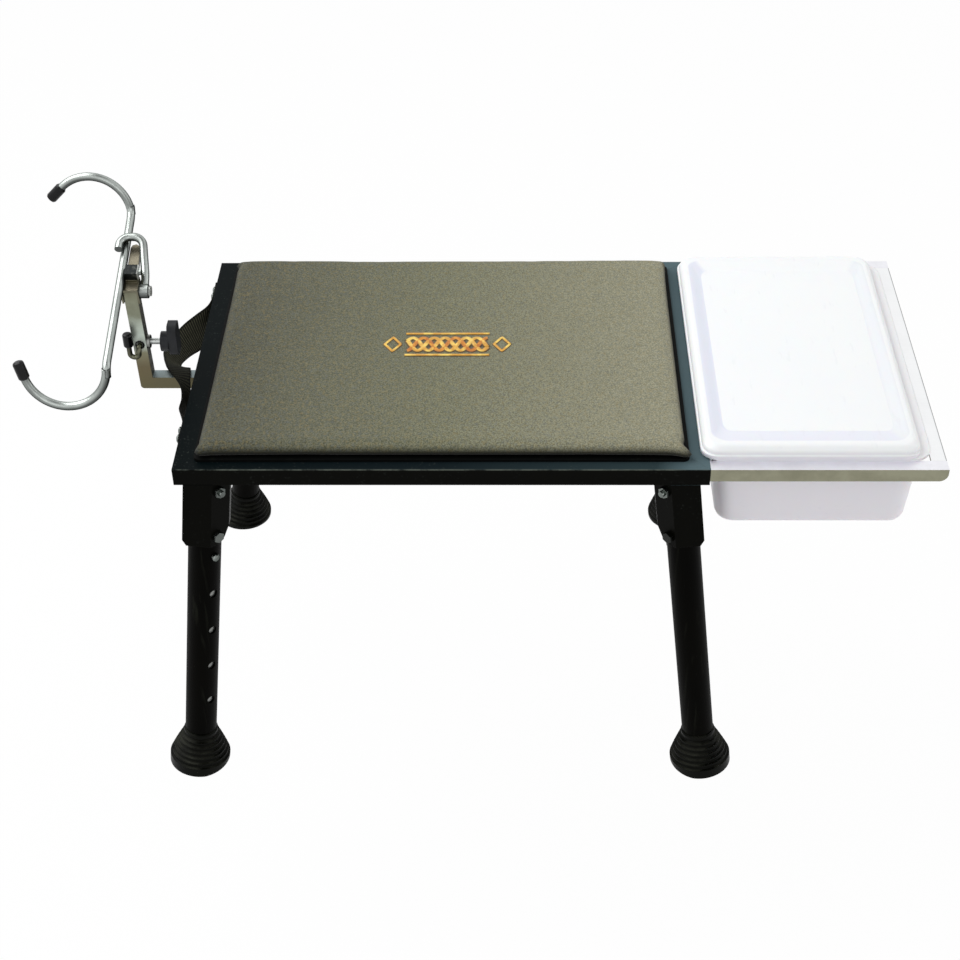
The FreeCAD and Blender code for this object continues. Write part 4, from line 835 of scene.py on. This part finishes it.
def settle_pad(item):
    """Crowns the top, draws the corners out into ears and seats the underside on the board."""
    for vertex in item.data.vertices:
        x = (vertex.co.x - pad_middle.x) / (pad_size.x / 2)
        y = (vertex.co.y - pad_middle.y) / (pad_size.y / 2)
        fall = max(0.0, 1 - abs(x) ** crown_power) * max(0.0, 1 - abs(y) ** crown_power)
        lift = (vertex.co.z - pad_low.z) / cover_high
        if lift > 0.5:
            vertex.co.z += crown_high * fall * min(1.0, (lift - 0.5) * 2)
        for side, end, ear, fold in EARS:
            corner_x = pad_middle.x + side * pad_size.x / 2
            corner_y = pad_middle.y + end * pad_size.y / 2
            gap = math.hypot(vertex.co.x - corner_x, vertex.co.y - corner_y)
            if gap < 2 * ear_reach:
                pull = math.exp(-(gap / ear_reach * ear_fall) ** 2)
                vertex.co.x += side * ear * ear_side * pull
                vertex.co.y += end * ear * ear_end * pull
                vertex.co.z -= ear_drop * ear * pull * max(0.0, lift)
                behind = abs(vertex.co.y - corner_y) - fold_behind
                aside = abs(vertex.co.x - corner_x)
                crease = (math.exp(-(behind / fold_wide) ** 2)
                          * math.exp(-(aside / fold_long) ** 2))
                vertex.co.x -= side * fold * crease
                vertex.co.z -= fold * fold_drop * crease * max(0.0, lift)
        vertex.co.z = max(vertex.co.z, pad_low.z + board_gap)
        vertex.co.z = min(vertex.co.z, pad_high.z + top_spare)


settle_pad(pad)
modified(pad, "SUBSURF", levels=1, render_levels=1)
for face in pad.data.polygons:
    face.use_smooth = True
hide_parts("seat_pad")
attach(pad, "seat_frame")

# Stitched ornament on the cover: a three-strand plait between two cords, a diamond at each end

cover_points = [v.co.copy() for v in pad.data.vertices]
cover = BVHTree.FromPolygons(cover_points, [tuple(p.vertices) for p in pad.data.polygons])
# The plait: its half length, the length of a wave, its swing to each side and its lift where
# strands cross. The cords and diamonds lie as far out from its middle as their names say.
plait_middle = seat(1.5, 179, 0)
plait_half = 0.040
plait_wave = 0.032
plait_swing = 0.0110
plait_lift = 0.00025
strand_wide, strand_high = 0.0068, 0.0008
cord_wide, cord_high = 0.0048, 0.0009
cord_out = 0.0185
cord_half = 0.042
diamond_wide, diamond_high = 0.0042, 0.0008
diamond_out = 0.0545
diamond_half = 0.0080
diamond_stretch = 1.5
# The stitches: their thickness, their height over the cloth, and their mesh
thread_thick = 0.0004
thread_rise = 0.0001
strand_rows, strand_columns = 72, 6
share_step = 0.01
above_cover = 0.05
gold_thread = stitch_thread("gold_thread", screen(252, 180, 40), screen(255, 214, 96), 0.5)
rust_thread = stitch_thread("rust_thread", screen(226, 132, 26), screen(238, 160, 46), -0.5)


def on_cover(x, y, rise):
    """A point over the cover's surface."""
    hit, _, _, _ = cover.ray_cast(Vector((x, y, pad_high.z + above_cover)), Vector((0, 0, -1)))
    return Vector((x, y, hit.z + rise))


def strand(name, centre, wide, high, material):
    """A raised satin stitch along a line given by its share from 0 to 1."""
    def place(share, over_share):
        here = centre(share)
        step = centre(min(share + share_step, 1.0)) - centre(max(share - share_step, 0.0))
        aside = Vector((-step.y, step.x, 0)).normalized()
        out = (over_share - 0.5) * wide
        spot = here + aside * out
        dome = 1 - (2 * over_share - 1) ** 2
        return on_cover(spot.x, spot.y, here.z + high * dome + thread_rise), (share, over_share)
    item = band(name, strand_rows, strand_columns, place, material)
    modified(item, "SOLIDIFY", thickness=thread_thick, offset=-1)
    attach(item, "seat_frame")
    return item


def plait_line(phase):
    """One strand of the plait, passing over and under the others."""
    def centre(share):
        run = (2 * share - 1) * plait_half
        angle = 2 * math.pi * (run / plait_wave + phase)
        return Vector((plait_middle.x + run, plait_middle.y + plait_swing * math.sin(angle),
                       plait_lift + plait_lift * math.cos(2 * angle)))
    return centre


def cord_line(side):
    """A straight cord beside the plait."""
    def centre(share):
        run = (2 * share - 1) * cord_half
        return Vector((plait_middle.x + run, plait_middle.y + side * cord_out, 0.0))
    return centre


def diamond_line(side):
    """Once round a diamond beyond the plait's end."""
    def centre(share):
        angle = 2 * math.pi * share
        reach = diamond_half / (abs(math.cos(angle)) + abs(math.sin(angle)))
        return Vector((plait_middle.x + side * diamond_out + reach * math.cos(angle),
                       plait_middle.y + diamond_stretch * reach * math.sin(angle), 0.0))
    return centre


for number in range(3):
    strand("plait_strand_%d" % (number + 1), plait_line(number / 3), strand_wide, strand_high,
           gold_thread if number else rust_thread)
for number, side in enumerate((-1, 1), 1):
    strand("plait_cord_%d" % number, cord_line(side), cord_wide, cord_high, gold_thread)
    strand("plait_diamond_%d" % number, diamond_line(side), diamond_wide, diamond_high,
           gold_thread)


# Bait box lid: soft-edged moulding with a ridge round a sunk panel. The rib under it plugs the
# box's opening.

_, box_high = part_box("bait_box")
lid_size = lid_high - lid_low
lid_seat = box_high.z
ridge_high = lid_high.z - lid_seat
# Over the lid's seat on the box: the top of its lip, of its wall, and of its ridge above
lid_lip = 0.0042
lid_edge = 0.0085
lid_round = 0.015
round_segments = 8
lid_wall = 0.0016
panel_deep = 0.0032
# The lid's steps from its lip up to its panel: how far each goes up, in along x and in along y
LID_STEPS = [
    (0, 0.0014, 0.0014),
    (lid_edge - lid_lip, 0.0004, 0.0004),
    (ridge_high - lid_edge, 0.0042, 0.0042),
    (0, 0.0055, 0.0060),
    (-panel_deep, 0.0100, 0.0190),
]
# The rounding of the lip, the wall's top and the ridge, and what finds their edges
lip_soft, edge_soft, ridge_soft = 0.0006, 0.0018, 0.0020
level_band = 0.0001
turning = 0.08  # radians
# The rib: its corners, how far below the lip's top it steps in, how far it goes into the panel,
# and how far below the lid's seat its points are looked for
rib_round = 0.0152
rib_below_lip = 0.0006
rib_bite = 0.0002
plug_spare = 0.0005


def level_of(face):
    """The height of a face's middle."""
    return face.calc_center_median().z


def stepped(shape, face, rise, in_x, in_y):
    """Carries a face up or down into a step drawn in from its edge; gives the face on the step."""
    grown = bmesh.ops.extrude_face_region(shape, geom=[face])["geom"]
    bmesh.ops.delete(shape, geom=[face], context="FACES_ONLY")
    points = [g for g in grown if isinstance(g, bmesh.types.BMVert)]
    half_x = max(v.co.x for v in points)
    half_y = max(v.co.y for v in points)
    bmesh.ops.scale(shape, vec=(1 - in_x / half_x, 1 - in_y / half_y, 1), verts=points)
    bmesh.ops.translate(shape, vec=(0, 0, rise), verts=points)
    return next(g for g in grown if isinstance(g, bmesh.types.BMFace))


def open_block(size_x, size_y, high, radius):
    """A block with rounded upright edges and no floor, its foot on the level of the origin."""
    shape = bmesh.new()
    bmesh.ops.create_cube(shape, size=1)
    bmesh.ops.scale(shape, vec=(size_x, size_y, high), verts=shape.verts)
    bmesh.ops.translate(shape, vec=(0, 0, high / 2), verts=shape.verts)
    upright = [e for e in shape.edges if rise_of(e) > 0.5 * e.calc_length()]
    bevelled(shape, upright, radius, round_segments)
    bmesh.ops.delete(shape, geom=[min(shape.faces, key=level_of)], context="FACES_ONLY")
    return shape


def softened(shape, low, high, offset):
    """Rounds the level edges between two heights where the surface turns."""
    bevelled(shape, [e for e in shape.edges
                     if len(e.link_faces) == 2 and e.calc_face_angle() > turning
                     and rise_of(e) < same_level and low < e.verts[0].co.z < high], offset)


def lid_shell():
    """The lid's outer skin: lip, wall, slope, ridge and sunk panel."""
    shape = open_block(lid_size.x, lid_size.y, lid_lip, lid_round)
    top = max(shape.faces, key=level_of)
    for rise, in_x, in_y in LID_STEPS:
        top = stepped(shape, top, rise, in_x, in_y)
    softened(shape, lid_lip - level_band, lid_lip + level_band, lip_soft)
    softened(shape, lid_edge - level_band, lid_edge + level_band, edge_soft)
    softened(shape, ridge_high - panel_deep - 2 * level_band, ridge_high + level_band, ridge_soft)
    bmesh.ops.translate(shape, vec=(lid_middle.x, lid_middle.y, lid_seat), verts=shape.verts)
    return shape


lid = finished("soft_lid", lid_shell(), box_finish)
modified(lid, "SOLIDIFY", thickness=lid_wall, offset=-1)
modified(lid, "WEIGHTED_NORMAL", weight=50)
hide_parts("bait_box_lid")
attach(lid, "bait_box_lid")


def plug_rib():
    """A thin wall all round, from the panel's underside down into the box's opening.

    Above the lid's lip it stands further in, so that it stays inside the shell's right wall.
    """
    low = [v.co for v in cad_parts["bait_box_lid"].data.vertices
           if v.co.z < lid_seat - plug_spare]
    x_low, x_high = min(p.x for p in low), max(p.x for p in low)
    y_low, y_high = min(p.y for p in low), max(p.y for p in low)
    ledge = lid_seat + lid_lip - rib_below_lip
    under_panel = lid_high.z - panel_deep - lid_wall + rib_bite
    shape = open_block(x_high - x_low, y_high - y_low, ledge - lid_low.z, rib_round)
    top = max(shape.faces, key=level_of)
    top = stepped(shape, top, 0, lid_wall, lid_wall)
    top = stepped(shape, top, under_panel - ledge, 0, 0)
    bmesh.ops.delete(shape, geom=[top], context="FACES_ONLY")
    bmesh.ops.translate(shape, vec=((x_low + x_high) / 2, (y_low + y_high) / 2, lid_low.z),
                        verts=shape.verts)
    return shape


rib = finished("lid_plug_rib", plug_rib(), box_finish)
modified(rib, "SOLIDIFY", thickness=lid_wall, offset=-1)
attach(rib, "bait_box_lid")


# Carry strap: webbing riveted to the rail at both ends, looped over the rest bracket's foot.
# Its course is pairs of points, of the upper and the lower edge, from the rear end to the front.

STRAP = [
    ((-251, 323, 369), (-251, 323, 339)), ((-251, 297, 368.4), (-251, 289, 339)),
    ((-254.6, 281, 367), (-251.4, 267, 338)), ((-265, 263, 367.2), (-253.5, 251, 338)),
    ((-274.6, 244, 368), (-259.5, 238, 339.5)), ((-282.6, 220, 369), (-267.8, 223, 342)),
    ((-287.2, 197, 369.4), (-273.5, 205, 345)), ((-284.8, 181, 370), (-270.5, 192, 349)),
    ((-281.3, 168.5, 371.2), (-259.5, 173.5, 362)), ((-278.2, 161, 370.9), (-255.4, 163, 368.8)),
    ((-269.5, 148.5, 368.7), (-253.6, 147.5, 368.5)), ((-262, 137, 366), (-252.3, 129, 351)),
    ((-259.6, 124, 361.5), (-252.2, 117, 337.5)), ((-259.6, 108, 361.5), (-253.2, 104, 335.5)),
    ((-255, 93, 364.5), (-251.8, 90, 336.5)), ((-251, 78, 367.5), (-251, 78, 338)),
    ((-251, 48, 368), (-251, 48, 338)),
]
strap_wide = 0.030
strap_thick = 0.0016
strap_soft = 0.0005
strap_rows, strap_columns = 96, 8


def curve_point(points, t):
    """A point on a smooth line through the points."""
    i = min(int(t), len(points) - 2)
    f = t - i
    a, b = points[max(i - 1, 0)], points[i]
    c, d = points[i + 1], points[min(i + 2, len(points) - 1)]
    return (b * 2 + (c - a) * f + (a * 2 - b * 5 + c * 4 - d) * f ** 2
            + (b * 3 - a - c * 3 + d) * f ** 3) * 0.5


def strap_course():
    """The strap's two edges and the length run so far, row by row."""
    upper = [seat(*a) for a, _ in STRAP]
    lower = [seat(*b) for _, b in STRAP]
    rows = []
    run = 0.0
    for k in range(strap_rows + 1):
        t = k * (len(STRAP) - 1) / strap_rows
        a, b = curve_point(upper, t), curve_point(lower, t)
        if rows:
            last = (rows[-1][0] + rows[-1][1]) / 2
            run += ((a + b) / 2 - last).length
        rows.append((a, b, run))
    return rows


course = strap_course()


def strap_place(share, over_share):
    """A point of the strap by its shares of length and width, and its place in the weave."""
    a, b, run = course[round(share * strap_rows)]
    return a.lerp(b, over_share), (run, over_share * strap_wide)


strap = band("webbing_strap", strap_rows, strap_columns, strap_place, webbing(strap_wide))
modified(strap, "SOLIDIFY", thickness=strap_thick, offset=0)
modified(strap, "BEVEL", width=strap_soft, segments=2, limit_method="ANGLE")
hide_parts("carry_strap")
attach(strap, "seat_frame")

# Grommet where the small hook's wire comes through the rest bracket

bracket_low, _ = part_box("rest_bracket")
_, hook_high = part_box("small_hook")
screw_low, screw_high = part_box("clamp_screw")
# The ring's middle radius and half its thickness, half the wire, and how far the ring stands out
grommet_reach, grommet_thick = 0.0040, 0.0008
wire_half = 0.0025
grommet_out = 0.0003


def grommet():
    """A round rubber ring, spun from a small circle."""
    shape = bmesh.new()
    circle = bmesh.ops.create_circle(shape, segments=10, radius=grommet_thick)["verts"]
    bmesh.ops.translate(shape, vec=(grommet_reach, 0, 0), verts=circle)
    bmesh.ops.spin(shape, geom=list(shape.verts) + list(shape.edges), cent=(0, 0, 0),
                   axis=(0, 1, 0), angle=2 * math.pi, steps=28, use_merge=True)
    bmesh.ops.recalc_face_normals(shape, faces=shape.faces)
    return shape


ring_shape = grommet()
bmesh.ops.translate(ring_shape, verts=ring_shape.verts, vec=(
    hook_high.x - wire_half, bracket_low.y - grommet_out, (screw_low.z + screw_high.z) / 2))
ring = finished("rest_grommet", ring_shape, cap_finish)
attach(ring, "seat_frame")
